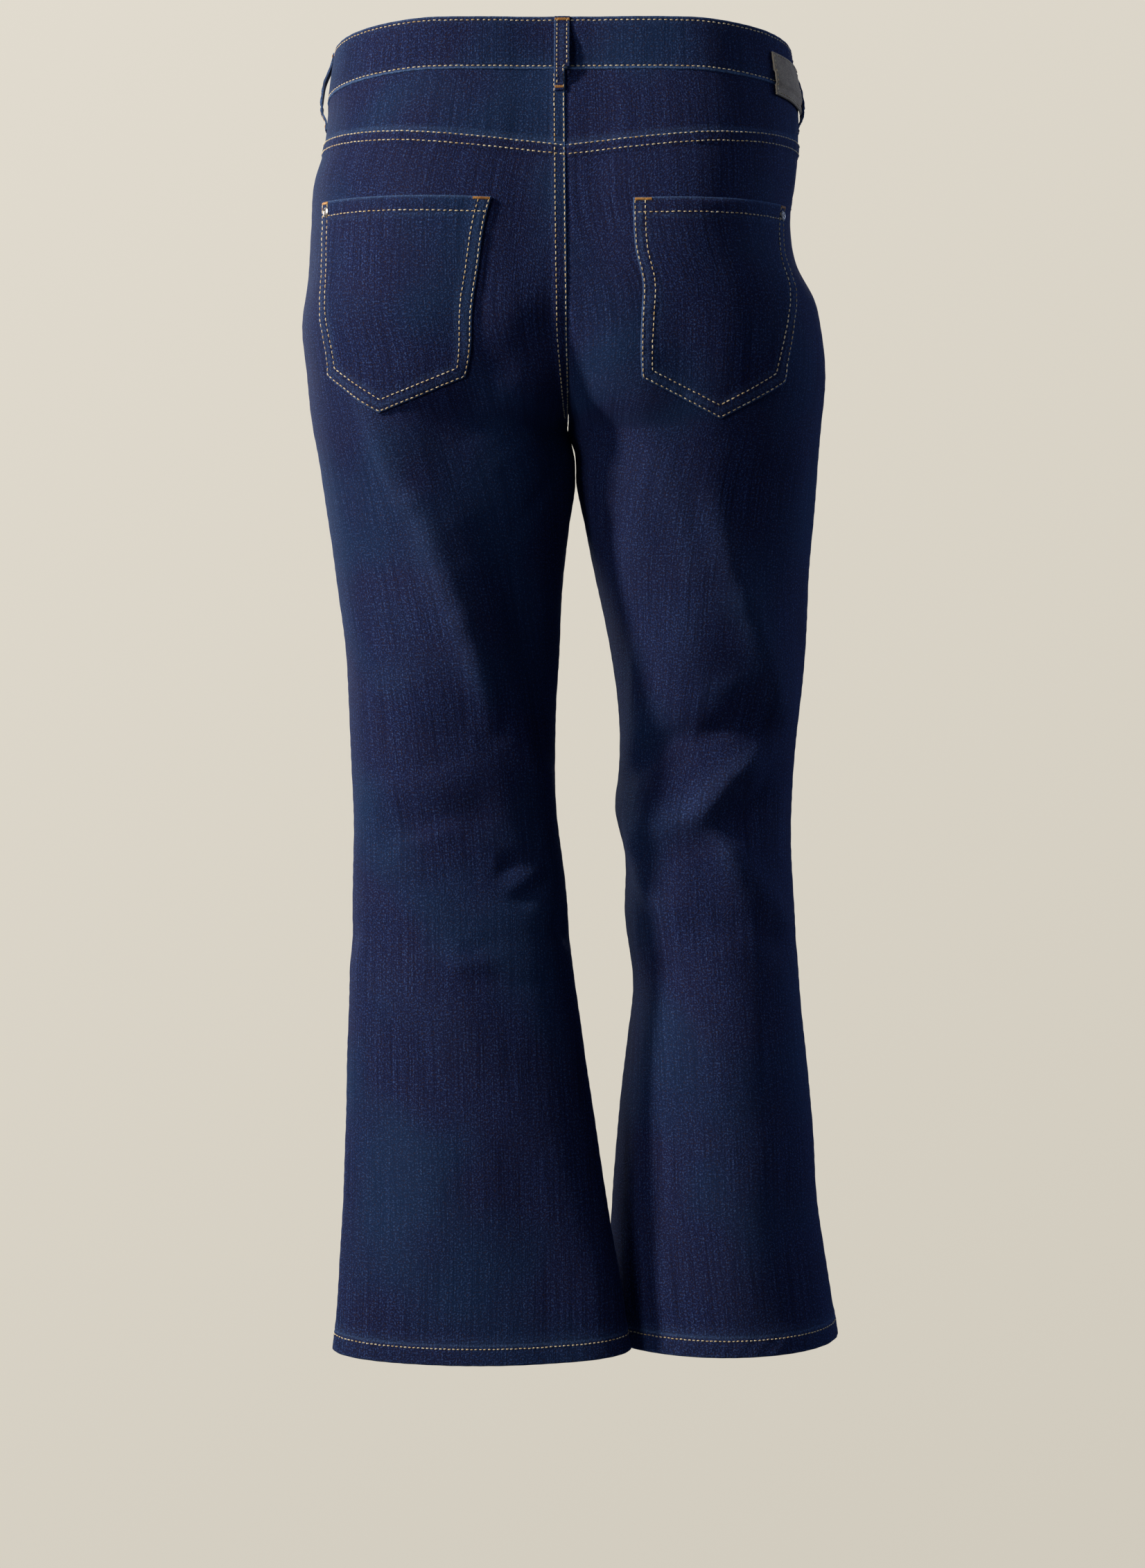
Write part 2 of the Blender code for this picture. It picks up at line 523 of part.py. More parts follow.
def back_pieces(side, denim):
    rounds = np.linspace(0.5, 1.0, 14)
    share = np.linspace(0, 1, 11)[:, None]
    hip = yoke_level(rounds)[None, :] * (1 - share) + share
    leg = np.tile(leg_levels()[1:, None], (1, len(rounds)))
    levels = np.concatenate([hip, leg])
    edges = ("top", "first", "last")
    panel(f"back_{side.name}", side, levels, np.tile(rounds, (len(levels), 1)), edges, denim)
    share = np.linspace(0, 1, 4)[:, None]
    levels = yoke_level(rounds)[None, :] * share
    edges = ("top", "bottom", "first")
    panel(f"yoke_{side.name}", side, levels, np.tile(rounds, (len(levels), 1)), edges, denim)


def scoop(side, count):
    """(level, round_) along the curved mouth of the front pocket, from the waistband seam to the outseam."""
    waist_length = side.lengths[0]
    angle = np.linspace(0, math.pi / 2, count)
    depth = SCOOP_DEPTH / (WAIST_SIDE_Z - CROTCH_Z)
    return depth * np.sin(angle), 0.5 - 0.5 * SCOOP_WIDTH / waist_length * np.cos(angle)


def front_pieces(side, denim):
    mouth_level, mouth_round = scoop(side, 8)
    plain = np.linspace(0, mouth_round[0], 7)[:-1]
    rounds = np.concatenate([plain, mouth_round])
    top = np.concatenate([np.zeros(len(plain)), mouth_level])
    even = np.linspace(0, 0.5, len(rounds))
    share = np.linspace(0, 1, 11)[:, None]
    hip = top[None, :] * (1 - share) + share
    hip_rounds = rounds[None, :] * (1 - share) + even[None, :] * share
    leg = np.tile(leg_levels()[1:, None], (1, len(rounds)))
    levels = np.concatenate([hip, leg])
    all_rounds = np.concatenate([hip_rounds, np.tile(even, (len(leg), 1))])
    panel(f"front_{side.name}", side, levels, all_rounds, ("top", "first", "last"), denim)
    front_pocket_facing(side, denim)


def front_pocket_facing(side, denim):
    """The cloth seen in the mouth of the front pocket, one wall behind the front."""
    depth = (SCOOP_DEPTH + FACING_MARGIN) / (WAIST_SIDE_Z - CROTCH_Z)
    start = 0.5 - 0.5 * (SCOOP_WIDTH + FACING_MARGIN) / side.lengths[0]
    levels = np.linspace(0, depth, 6)[:, None]
    rounds = np.linspace(start, 0.5, 8)[None, :]
    points, normals = side.at(levels + 0 * rounds, rounds + 0 * levels)
    points = trimmed(points, ("top", "last"))
    depth = carrier_height([f"front_{side.name}"], points, -normals)
    depth = (np.maximum(depth, WALL) + LAID_GAP)[..., None]
    inner = points - normals * (depth + WALL)
    wall(f"front_pocket_facing_{side.name}", points - normals * depth, inner, denim)


class Waistline:
    """The waistband's own coordinates: run is the distance along its seam from the centre front, positive to
    the wearer's left, and drop is the distance below its top edge."""

    def __init__(self, left, right):
        self.sides = {"left": left, "right": right}
        self.path = {name: self.seam(side) for name, side in self.sides.items()}
        self.half = {name: along[-1] for name, (along, _) in self.path.items()}

    def seam(self, side):
        ring = side.points[0]
        steps = np.linalg.norm(np.diff(ring, axis=0), axis=1)
        return np.concatenate([[0.0], np.cumsum(steps)]), ring

    def seam_at(self, run):
        """Points of the waistband seam. Past half the girth, run reads the other side."""
        run = np.asarray(run, float)
        girth = self.half["left"] + self.half["right"]
        run = np.where(run > self.half["left"], run - girth, run)
        points = np.zeros((*run.shape, 3))
        for name, sign in SIDES.items():
            along, ring = self.path[name]
            mine = (run >= 0) if sign > 0 else (run < 0)
            for k in range(3):
                points[mine, k] = np.interp(np.abs(run[mine]), along, ring[:, k])
        return points

    def seam_frame(self, run):
        """Level directions that point out of the waist."""
        ahead, behind = self.seam_at(run + 0.004), self.seam_at(run - 0.004)
        way = ahead - behind
        way[..., 2] = 0
        way = unit(way)
        return np.stack([way[..., 1], -way[..., 0], np.zeros(way.shape[:-1])], axis=-1)

    def face(self, run, drop):
        """Points and normals of the waistband's face, and below the seam those of the panels' face."""
        run, drop = np.broadcast_arrays(np.asarray(run, float), np.asarray(drop, float))
        seam, out = self.seam_at(run), self.seam_frame(run)
        up = np.clip(WAISTBAND_HEIGHT - drop, 0, None)[..., None]
        lean = WAISTBAND_LEAN / WAISTBAND_HEIGHT
        points = seam + out * (WAISTBAND_PROUD - lean * up) + np.array([0, 0, 1.0]) * up
        normals = unit(out + np.array([0, 0, lean]))
        below = drop > WAISTBAND_HEIGHT
        if below.any():
            points, normals = points.copy(), normals.copy()
            for name, side in self.sides.items():
                reach = self.half[name]
                mine = below & ((run >= 0) if name == "left" else (run < 0))
                if not mine.any():
                    continue
                round_ = np.abs(run[mine]) / reach
                shares = self.path[name][0] / reach
                round_ = np.interp(round_, shares, np.linspace(0, 1, LATTICE_COLUMNS))
                level = (drop[mine] - WAISTBAND_HEIGHT) / (WAIST_SIDE_Z - CROTCH_Z)
                points[mine], normals[mine] = side.at(level, round_)
        return points, normals


def waistband(waistline, denim):
    """One strip, from its buttonhole end over the fly, round the back, to its button end under the fly."""
    girth = waistline.half["left"] + waistline.half["right"]
    ends = [-FLY_END, HOLE_START, HOLE_START + BUTTON_HOLE[0]]
    around = np.linspace(0.030, girth - OVERLAP_RUN - 0.010, 60)
    tail = girth + np.linspace(-OVERLAP_RUN, UNDER_END, 8)
    run = np.concatenate([ends, around, tail])
    hole_drop = (WAISTBAND_HEIGHT - BUTTON_HOLE[1]) / 2
    drop = np.array([0.0, hole_drop, hole_drop + BUTTON_HOLE[1], WAISTBAND_HEIGHT])
    under = np.clip((run - girth + OVERLAP_RUN) / (OVERLAP_RUN - 0.008), 0, 1)
    sunk = OVERLAP_DROP * under**2 * (3 - 2 * under)
    wrapped = np.where(run > waistline.half["left"], run - girth, run)
    points, normals = waistline.face(*np.meshgrid(wrapped, drop))
    points[-1] += np.array([0, 0, SEAM_GAP])
    points = points - normals * sunk[None, :, None]
    inner = points - unit(normals * np.array([1, 1, 0])) * (WALL + WAISTBAND_PROUD)
    wall("waistband", points, inner, denim, hole=(1, 1))


def belt_loop(name, waistline, run, denim):
    """A narrow strip, bar-tacked flat at both ends and arched between them for a belt."""
    end = LOOP_LENGTH - LOOP_FLAT
    rising = LOOP_FLAT + LOOP_RISE * np.linspace(0, 1, 5)
    falling = end - LOOP_FALL * np.linspace(1, 0, 4)
    drops = np.concatenate([[0.0006], rising, [0.036], falling, [LOOP_LENGTH]])
    share = np.clip(np.minimum((drops - LOOP_FLAT) / LOOP_RISE, (end - drops) / LOOP_FALL), 0, 1)
    arch = LOOP_ARCH * share * share * (3 - 2 * share)
    across = run + LOOP_WIDTH * np.array([-0.5, 0.0, 0.5])
    runs, all_drops = np.meshgrid(across, drops)
    points, normals = waistline.face(runs, all_drops)
    normals = np.repeat(normals[:, 1:2], 3, axis=1)
    height = carrier_height(LOOP_CARRIERS, points, normals).max(1)
    inner = points + normals * (height + LAID_GAP + arch)[:, None, None]
    wall(name, inner + normals * LOOP_THICK, inner, denim)


def belt_loops(waistline, denim):
    """Five loops: centre back, one at each side and one on each front."""
    left, right = waistline.half["left"], waistline.half["right"]
    belt_loop("belt_loop_back", waistline, left - 0.0012, denim)
    belt_loop("belt_loop_side_left", waistline, left * SIDE_LOOP_SHARE["left"], denim)
    belt_loop("belt_loop_side_right", waistline, -right * SIDE_LOOP_SHARE["right"], denim)
    belt_loop("belt_loop_front_left", waistline, FRONT_LOOP_RUN, denim)
    belt_loop("belt_loop_front_right", waistline, -FRONT_LOOP_RUN, denim)


def leather_patch(waistline, leather):
    """A bare patch on the waistband, between the right side loop and the centre back."""
    loop = waistline.half["right"] * SIDE_LOOP_SHARE["right"]
    start = -(loop + LOOP_WIDTH / 2 + PATCH_GAP)
    runs = start - np.linspace(0, PATCH_SIZE[0], 12)
    at_seam = (WAISTBAND_HEIGHT - 0.0002, WAISTBAND_HEIGHT + 0.0012)
    drops = np.sort(np.append(PATCH_DROP + np.array([0, 0.33, 0.64, 1.0]) * PATCH_SIZE[1], at_seam))
    runs, drops = np.meshgrid(runs, drops)
    points, normals = waistline.face(runs, drops)
    normals = np.repeat(normals[:1], len(normals), axis=0)
    lift = carrier_height(("waistband", "yoke_right"), points, normals) + LAID_GAP
    points = points + normals * lift[..., None]
    wall("leather_patch", points + normals * PATCH_THICK, points, leather)


def back_pocket(side, denim):
    """A five-sided patch pocket, made from the back panel's own points moved out."""
    shape = POCKETS[side.name]
    across = np.linspace(0, 1, 13)[None, :]
    down = np.linspace(0, 1, 11)[:, None]
    (inner_top, outer_top), (inner_low, outer_low) = np.array(shape["top"]), np.array(shape["bottom"])
    top = inner_top + (outer_top - inner_top) * across[..., None]
    low = inner_low + (outer_low - inner_low) * across[..., None]
    tip = np.array(shape["tip"])
    tip_share = (tip[0] - inner_low[0]) / (outer_low[0] - inner_low[0])
    point_down = np.minimum(across / tip_share, (1 - across) / (1 - tip_share))
    level_low = low[..., 1] + (tip[1] - (inner_low[1] + outer_low[1]) / 2) * point_down
    inner_bow, outer_bow = shape["bow"]
    bow = (inner_bow + (outer_bow - inner_bow) * across) * down**3 * (1 - down) * 256 / 27
    distance = top[..., 0] * (1 - down) + low[..., 0] * down + bow
    z = top[..., 1] * (1 - down) + level_low * down
    points, normals = side.at(*side.find(distance, z))
    lift = carrier_height([f"back_{side.name}"], points, normals) + POCKET_GAP
    inner = points + normals * lift[..., None]
    name = f"back_pocket_{side.name}"
    wall(name, inner + normals * POCKET_THICK, inner, denim)
    corner = outer_top + (inner_top - outer_top) * 0.055 + np.array([0, -0.0085])
    point, normal = side.at(*side.find(*corner))
    grid = (point[None, None], normal[None, None])
    rivet(f"pocket_rivet_{side.name}", point, normal, carrier_height([name], *grid)[0, 0])


def turned(name, profile, base, axis, finish, segments):
    """A solid of revolution. profile is (radius, height), from the axis at the bottom to the axis on top."""
    axis = unit(np.asarray(axis, float))
    across = unit(np.cross(axis, [0.0, 0.0, 1.0]))
    third = np.cross(axis, across)
    angles = np.linspace(0, 2 * math.pi, segments, endpoint=False)
    points = [base + axis * profile[0][1]]
    for radius, height in profile[1:-1]:
        for angle in angles:
            spoke = across * math.cos(angle) + third * math.sin(angle)
            points.append(base + axis * height + spoke * radius)
    points.append(base + axis * profile[-1][1])
    rings = len(profile) - 2
    last = len(points) - 1
    faces = []
    for k in range(segments):
        following = (k + 1) % segments
        faces.append((0, 1 + following, 1 + k))
        for ring in range(rings - 1):
            low, high = 1 + ring * segments, 1 + (ring + 1) * segments
            faces.append((low + k, low + following, high + following, high + k))
        top = 1 + (rings - 1) * segments
        faces.append((top + k, top + following, last))
    return add_object(name, points, faces, finish)


def rivet(name, point, normal, height):
    radius = RIVET_RADIUS
    profile = (
        (0.0, 0.0),
        (radius, 0.0),
        (radius, 0.0005),
        (radius * 0.72, 0.0011),
        (radius * 0.34, 0.0011),
        (0.0, 0.0015),
    )
    base = point + normal * (height + SEAM_GAP)
    turned(name, profile, base, normal, bpy.data.materials["rivet_metal"], 14)


def fly_button(waistline, metal):
    """A shank button: its foot stands on the under end, its neck goes through the buttonhole."""
    points, normals = waistline.face(np.array([BUTTON_RUN]), np.array([WAISTBAND_HEIGHT / 2]))
    foot = -OVERLAP_DROP + SEAM_GAP
    profile = (
        (0.0, foot),
        (0.0013, foot),
        (0.0013, 0.0012),
        (BUTTON_RADIUS * 0.80, 0.0012),
        (BUTTON_RADIUS, 0.0020),
        (BUTTON_RADIUS, 0.0028),
        (BUTTON_RADIUS * 0.86, 0.0036),
        (BUTTON_RADIUS * 0.55, 0.0032),
        (0.0, 0.0033),
    )
    turned("fly_button", profile, points[0], normals[0], metal, 20)


def fly_zip(left, right, tape):
    """The zip's tape behind the centre front, one strip under both fronts."""
    width, length = ZIP_SIZE
    level = 0.010 + np.linspace(0, length / (WAIST_SIDE_Z - CROTCH_Z), 8)
    half = width / 2
    rows = []
    for share in (-1.0, -0.5, 0.0, 0.5, 1.0):
        side = left if share >= 0 else right
        round_ = abs(share) * half / (2 * side.lengths[0])
        points, normals = side.at(level, np.full(len(level), round_))
        if share == 0:
            points = (points + right.at(level, np.zeros(len(level)))[0]) / 2
        rows.append((points, normals))
    points = np.stack([p for p, _ in rows], axis=1)
    normals = np.repeat(rows[2][1][:, None], 5, axis=1)
    outer = points - normals * (WALL + LAID_GAP)
    wall("fly_zip", outer, outer - normals * ZIP_THICK, tape)


def main():
    clear_scene()
    denim = material("dark_indigo_denim", (0.016, 0.030, 0.105), 0.82)
    leather = material("taupe_leather", (0.235, 0.190, 0.165), 0.62)
    button_metal = material("button_metal", (0.42, 0.36, 0.30), 0.34, 1.0)
    material("rivet_metal", (0.42, 0.33, 0.25), 0.36, 1.0)
    tape = material("zip_tape", (0.010, 0.014, 0.032), 0.80)
    left = Side("left", LEFT_LEG)
    right = Side("right", RIGHT_LEG)
    for side in (left, right):
        front_pieces(side, denim)
        back_pieces(side, denim)
        back_pocket(side, denim)
    waistline = Waistline(left, right)
    waistband(waistline, denim)
    belt_loops(waistline, denim)
    leather_patch(waistline, leather)
    fly_button(waistline, button_metal)
    fly_zip(left, right, tape)


main()
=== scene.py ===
import math

import bpy
import numpy as np
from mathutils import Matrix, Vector
from mathutils.bvhtree import BVHTree


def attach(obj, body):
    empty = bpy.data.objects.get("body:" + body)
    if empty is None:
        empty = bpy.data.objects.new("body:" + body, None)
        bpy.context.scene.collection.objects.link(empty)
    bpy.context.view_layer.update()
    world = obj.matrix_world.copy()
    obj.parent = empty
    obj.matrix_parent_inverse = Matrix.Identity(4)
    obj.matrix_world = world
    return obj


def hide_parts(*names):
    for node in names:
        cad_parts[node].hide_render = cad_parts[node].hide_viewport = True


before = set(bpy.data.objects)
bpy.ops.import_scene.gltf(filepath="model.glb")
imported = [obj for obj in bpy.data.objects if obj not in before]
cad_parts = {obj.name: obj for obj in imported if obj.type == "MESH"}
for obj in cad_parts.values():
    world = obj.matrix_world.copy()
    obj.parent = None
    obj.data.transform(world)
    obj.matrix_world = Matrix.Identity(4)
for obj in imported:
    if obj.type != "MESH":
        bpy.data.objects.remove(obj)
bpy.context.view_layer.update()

# Cropped bootcut jeans in their worn, hollow form. Metres, +Z up; the front faces -Y and the wearer's left
# is +X. Each side is one fine lattice of points, and every cut piece takes its cloth from it.

chance = np.random.default_rng(7)

shape = {
    "waistSideZ": -0.0220,
    "waistBackZ": -0.0092,
    "tiltFall": 0.40,  # down to this fall, height eases from following the depth to following the ring
    "crotchZ": -0.272,
    "hemZ": -0.980,
    "hemBackDrop": 0.005,  # how much lower the hem hangs behind
    "centreX": (-0.001, -0.004),  # of the centre seams, at the waist and at the crotch
    "frontMost": 0.30,  # how far out a section reaches foremost, as a share of its outer edge
    "backMost": 0.38,
    "grooveStart": 0.45,  # the fall from which the cloth turns in towards the centre seams
    "yokeSideZ": -0.0537,
    "yokeCentreZ": -0.0673,
    "seamGap": 0.0003,
    "rows": 521,  # lattice rings, from the waistband seam to the hem
    "columns": 321,  # and points round each, from the centre front to the centre back
}
hipHeight = shape["waistSideZ"] - shape["crotchZ"]  # of the outseam, from the waistband seam to the crotch

legColumns = ("z", "outer", "inner", "front", "back", "fullness")
leftLeg = (  # the straight leg: x of the outer and inner edge, y of the front and back
    (-0.0105, 0.1800, -0.0040, -0.0915, 0.1035, 0.57),
    (-0.0420, 0.1818, -0.0040, -0.0980, 0.1130, 0.58),
    (-0.0600, 0.1845, -0.0040, -0.1020, 0.1190, 0.59),
    (-0.0800, 0.1910, -0.0040, -0.1060, 0.1240, 0.60),
    (-0.1180, 0.1935, -0.0040, -0.1120, 0.1320, 0.60),
    (-0.1550, 0.1960, -0.0040, -0.1140, 0.1340, 0.60),
    (-0.1920, 0.2008, -0.0040, -0.1120, 0.1300, 0.60),
    (-0.2250, 0.1978, -0.0040, -0.1085, 0.1210, 0.59),
    (-0.2720, 0.1925, -0.0040, -0.1040, 0.1050, 0.57),
    (-0.2860, 0.1900, -0.0078, -0.1025, 0.1015, 0.57),
    (-0.3120, 0.1862, -0.0095, -0.0995, 0.0950, 0.56),
    (-0.3443, 0.1817, -0.0052, -0.0955, 0.0890, 0.56),
    (-0.3768, 0.1773, -0.0016, -0.0910, 0.0840, 0.56),
    (-0.4416, 0.1686, 0.0022, -0.0800, 0.0800, 0.56),
    (-0.5065, 0.1653, 0.0054, -0.0700, 0.0760, 0.56),
    (-0.5714, 0.1622, 0.0040, -0.0600, 0.0725, 0.56),
    (-0.6200, 0.1632, -0.0020, -0.0530, 0.0720, 0.56),
    (-0.6686, 0.1645, -0.0062, -0.0450, 0.0740, 0.56),
    (-0.7497, 0.1670, -0.0170, -0.0310, 0.0790, 0.56),
    (-0.8146, 0.1685, -0.0272, -0.0210, 0.0820, 0.56),
    (-0.8795, 0.1705, -0.0364, -0.0100, 0.0845, 0.56),
    (-0.9300, 0.1735, -0.0452, -0.0010, 0.0860, 0.56),
    (-0.9800, 0.1772, -0.0530, 0.0060, 0.0860, 0.56),
)
rightLeg = (  # the leg that stands forward with its knee a little bent
    (-0.0105, -0.1805, -0.0040, -0.0915, 0.1035, 0.57),
    (-0.0420, -0.1808, -0.0040, -0.0980, 0.1130, 0.58),
    (-0.0780, -0.1790, -0.0040, -0.1060, 0.1240, 0.60),
    (-0.1100, -0.1750, -0.0040, -0.1110, 0.1300, 0.60),
    (-0.1450, -0.1805, -0.0040, -0.1145, 0.1325, 0.60),
    (-0.1720, -0.1945, -0.0040, -0.1145, 0.1305, 0.60),
    (-0.1930, -0.1990, -0.0040, -0.1140, 0.1270, 0.60),
    (-0.2250, -0.2030, -0.0040, -0.1110, 0.1190, 0.59),
    (-0.2720, -0.2000, -0.0040, -0.1080, 0.1030, 0.57),
    (-0.2860, -0.1990, -0.0093, -0.1070, 0.0980, 0.57),
    (-0.3120, -0.1972, -0.0108, -0.1060, 0.0890, 0.56),
    (-0.3443, -0.1948, -0.0170, -0.1075, 0.0790, 0.56),
    (-0.3768, -0.1926, -0.0235, -0.1100, 0.0700, 0.56),
    (-0.4416, -0.1912, -0.0378, -0.1190, 0.0530, 0.56),
    (-0.5065, -0.1854, -0.0450, -0.1255, 0.0350, 0.56),
    (-0.5390, -0.1830, -0.0440, -0.1275, 0.0270, 0.56),
    (-0.5650, -0.1820, -0.0415, -0.1275, 0.0220, 0.56),
    (-0.6038, -0.1815, -0.0490, -0.1240, 0.0210, 0.56),
    (-0.6524, -0.1840, -0.0490, -0.1190, 0.0245, 0.56),
    (-0.7100, -0.1880, -0.0560, -0.1120, 0.0310, 0.56),
    (-0.7497, -0.1915, -0.0512, -0.1070, 0.0380, 0.56),
    (-0.8146, -0.1974, -0.0435, -0.0990, 0.0450, 0.56),
    (-0.8795, -0.2018, -0.0388, -0.0900, 0.0510, 0.56),
    (-0.9300, -0.2088, -0.0358, -0.0840, 0.0550, 0.56),
    (-0.9800, -0.2160, -0.0345, -0.0780, 0.0580, 0.56),
)

riseColumns = ("fall", "frontY", "frontZ", "backY", "backZ")
rise = (  # the centre seams, from the waistband (fall 0) down to the crotch (fall 1)
    (0.00, -0.0915, -0.0450, 0.1035, -0.0092),
    (0.12, -0.0980, -0.0660, 0.1120, -0.0370),
    (0.25, -0.1055, -0.0990, 0.1205, -0.0760),
    (0.40, -0.1110, -0.1370, 0.1265, -0.1180),
    (0.55, -0.1105, -0.1740, 0.1265, -0.1570),
    (0.70, -0.1020, -0.2100, 0.1170, -0.1960),
    (0.82, -0.0830, -0.2385, 0.0970, -0.2285),
    (0.92, -0.0510, -0.2600, 0.0600, -0.2560),
    (1.00, 0.0000, -0.2720, 0.0000, -0.2720),
)

# Folds and wrinkles of each leg's back and front. A row leads from one place to another, each as across and
# z: across is 0 at the outseam and 1 at the inseam or centre seam, as the eye sees that face. Then come the
# row's height out of the leg, negative for a trough, and its width.
folds = {  # the main ones, which the solids have too
    ("left", "back"): (
        (0.33, -0.258, 0.55, -0.370, 0.0040, 0.034),
        (0.55, -0.370, 0.72, -0.480, 0.0045, 0.030),
        (0.88, -0.330, 0.93, -0.450, -0.0030, 0.024),
        (0.34, -0.508, 0.62, -0.512, -0.0036, 0.020),
        (0.82, -0.512, 0.97, -0.542, 0.0032, 0.012),
        (0.22, -0.578, 0.62, -0.566, -0.0034, 0.015),
        (0.22, -0.580, 0.58, -0.632, -0.0030, 0.016),
        (0.66, -0.510, 0.66, -0.640, -0.0070, 0.040),
        (0.05, -0.644, 0.90, -0.640, 0.0035, 0.016),
        (0.02, -0.662, 0.99, -0.658, -0.0045, 0.014),
        (0.05, -0.680, 0.58, -0.744, 0.0030, 0.020),
        (0.62, -0.700, 0.90, -0.790, -0.0030, 0.026),
        (0.30, -0.800, 0.34, -0.930, 0.0030, 0.030),
        (0.70, -0.830, 0.76, -0.960, -0.0035, 0.030),
    ),
    ("left", "front"): (
        (0.92, -0.250, 0.42, -0.205, 0.0030, 0.018),
        (0.94, -0.276, 0.40, -0.262, -0.0035, 0.018),
        (0.86, -0.300, 0.36, -0.330, 0.0030, 0.020),
        (0.25, -0.555, 0.72, -0.585, -0.0040, 0.020),
        (0.30, -0.610, 0.80, -0.600, 0.0040, 0.020),
        (0.15, -0.648, 0.62, -0.662, -0.0040, 0.018),
        (0.42, -0.760, 0.50, -0.940, 0.0030, 0.032),
    ),
    ("right", "back"): (
        (0.71, -0.223, 0.73, -0.325, 0.0035, 0.022),
        (0.73, -0.325, 0.83, -0.387, 0.0030, 0.020),
        (0.46, -0.322, 0.30, -0.417, 0.0045, 0.026),
        (0.30, -0.417, 0.10, -0.490, 0.0045, 0.024),
        (0.62, -0.400, 0.60, -0.470, 0.0030, 0.026),
        (0.93, -0.536, 0.80, -0.514, -0.0045, 0.015),
        (0.80, -0.514, 0.40, -0.502, -0.0052, 0.015),
        (0.40, -0.502, 0.12, -0.504, -0.0034, 0.015),
        (0.20, -0.516, 0.38, -0.536, 0.0052, 0.014),
        (0.38, -0.536, 0.53, -0.564, 0.0060, 0.015),
        (0.53, -0.564, 0.92, -0.584, 0.0060, 0.016),
        (0.10, -0.545, 0.42, -0.584, -0.0044, 0.016),
        (0.47, -0.578, 0.36, -0.604, 0.0042, 0.013),
        (0.36, -0.604, 0.08, -0.652, 0.0042, 0.014),
        (0.60, -0.604, 0.44, -0.648, -0.0034, 0.016),
        (0.96, -0.602, 0.75, -0.650, 0.0036, 0.013),
        (0.88, -0.652, 0.40, -0.660, -0.0026, 0.014),
        (0.02, -0.669, 0.16, -0.672, -0.0035, 0.012),
        (0.88, -0.676, 0.55, -0.700, -0.0030, 0.016),
        (0.45, -0.760, 0.40, -0.940, 0.0030, 0.030),
        (0.78, -0.820, 0.80, -0.960, -0.0030, 0.026),
    ),
    ("right", "front"): (
        (0.93, -0.246, 0.45, -0.196, 0.0030, 0.018),
        (0.95, -0.272, 0.34, -0.246, -0.0045, 0.018),
        (0.90, -0.300, 0.30, -0.298, 0.0035, 0.020),
        (0.78, -0.470, 0.30, -0.440, -0.0030, 0.024),
        (0.85, -0.560, 0.55, -0.640, 0.0035, 0.024),
        (0.12, -0.600, 0.40, -0.680, -0.0040, 0.022),
        (0.50, -0.740, 0.46, -0.930, 0.0035, 0.034),
    ),
}
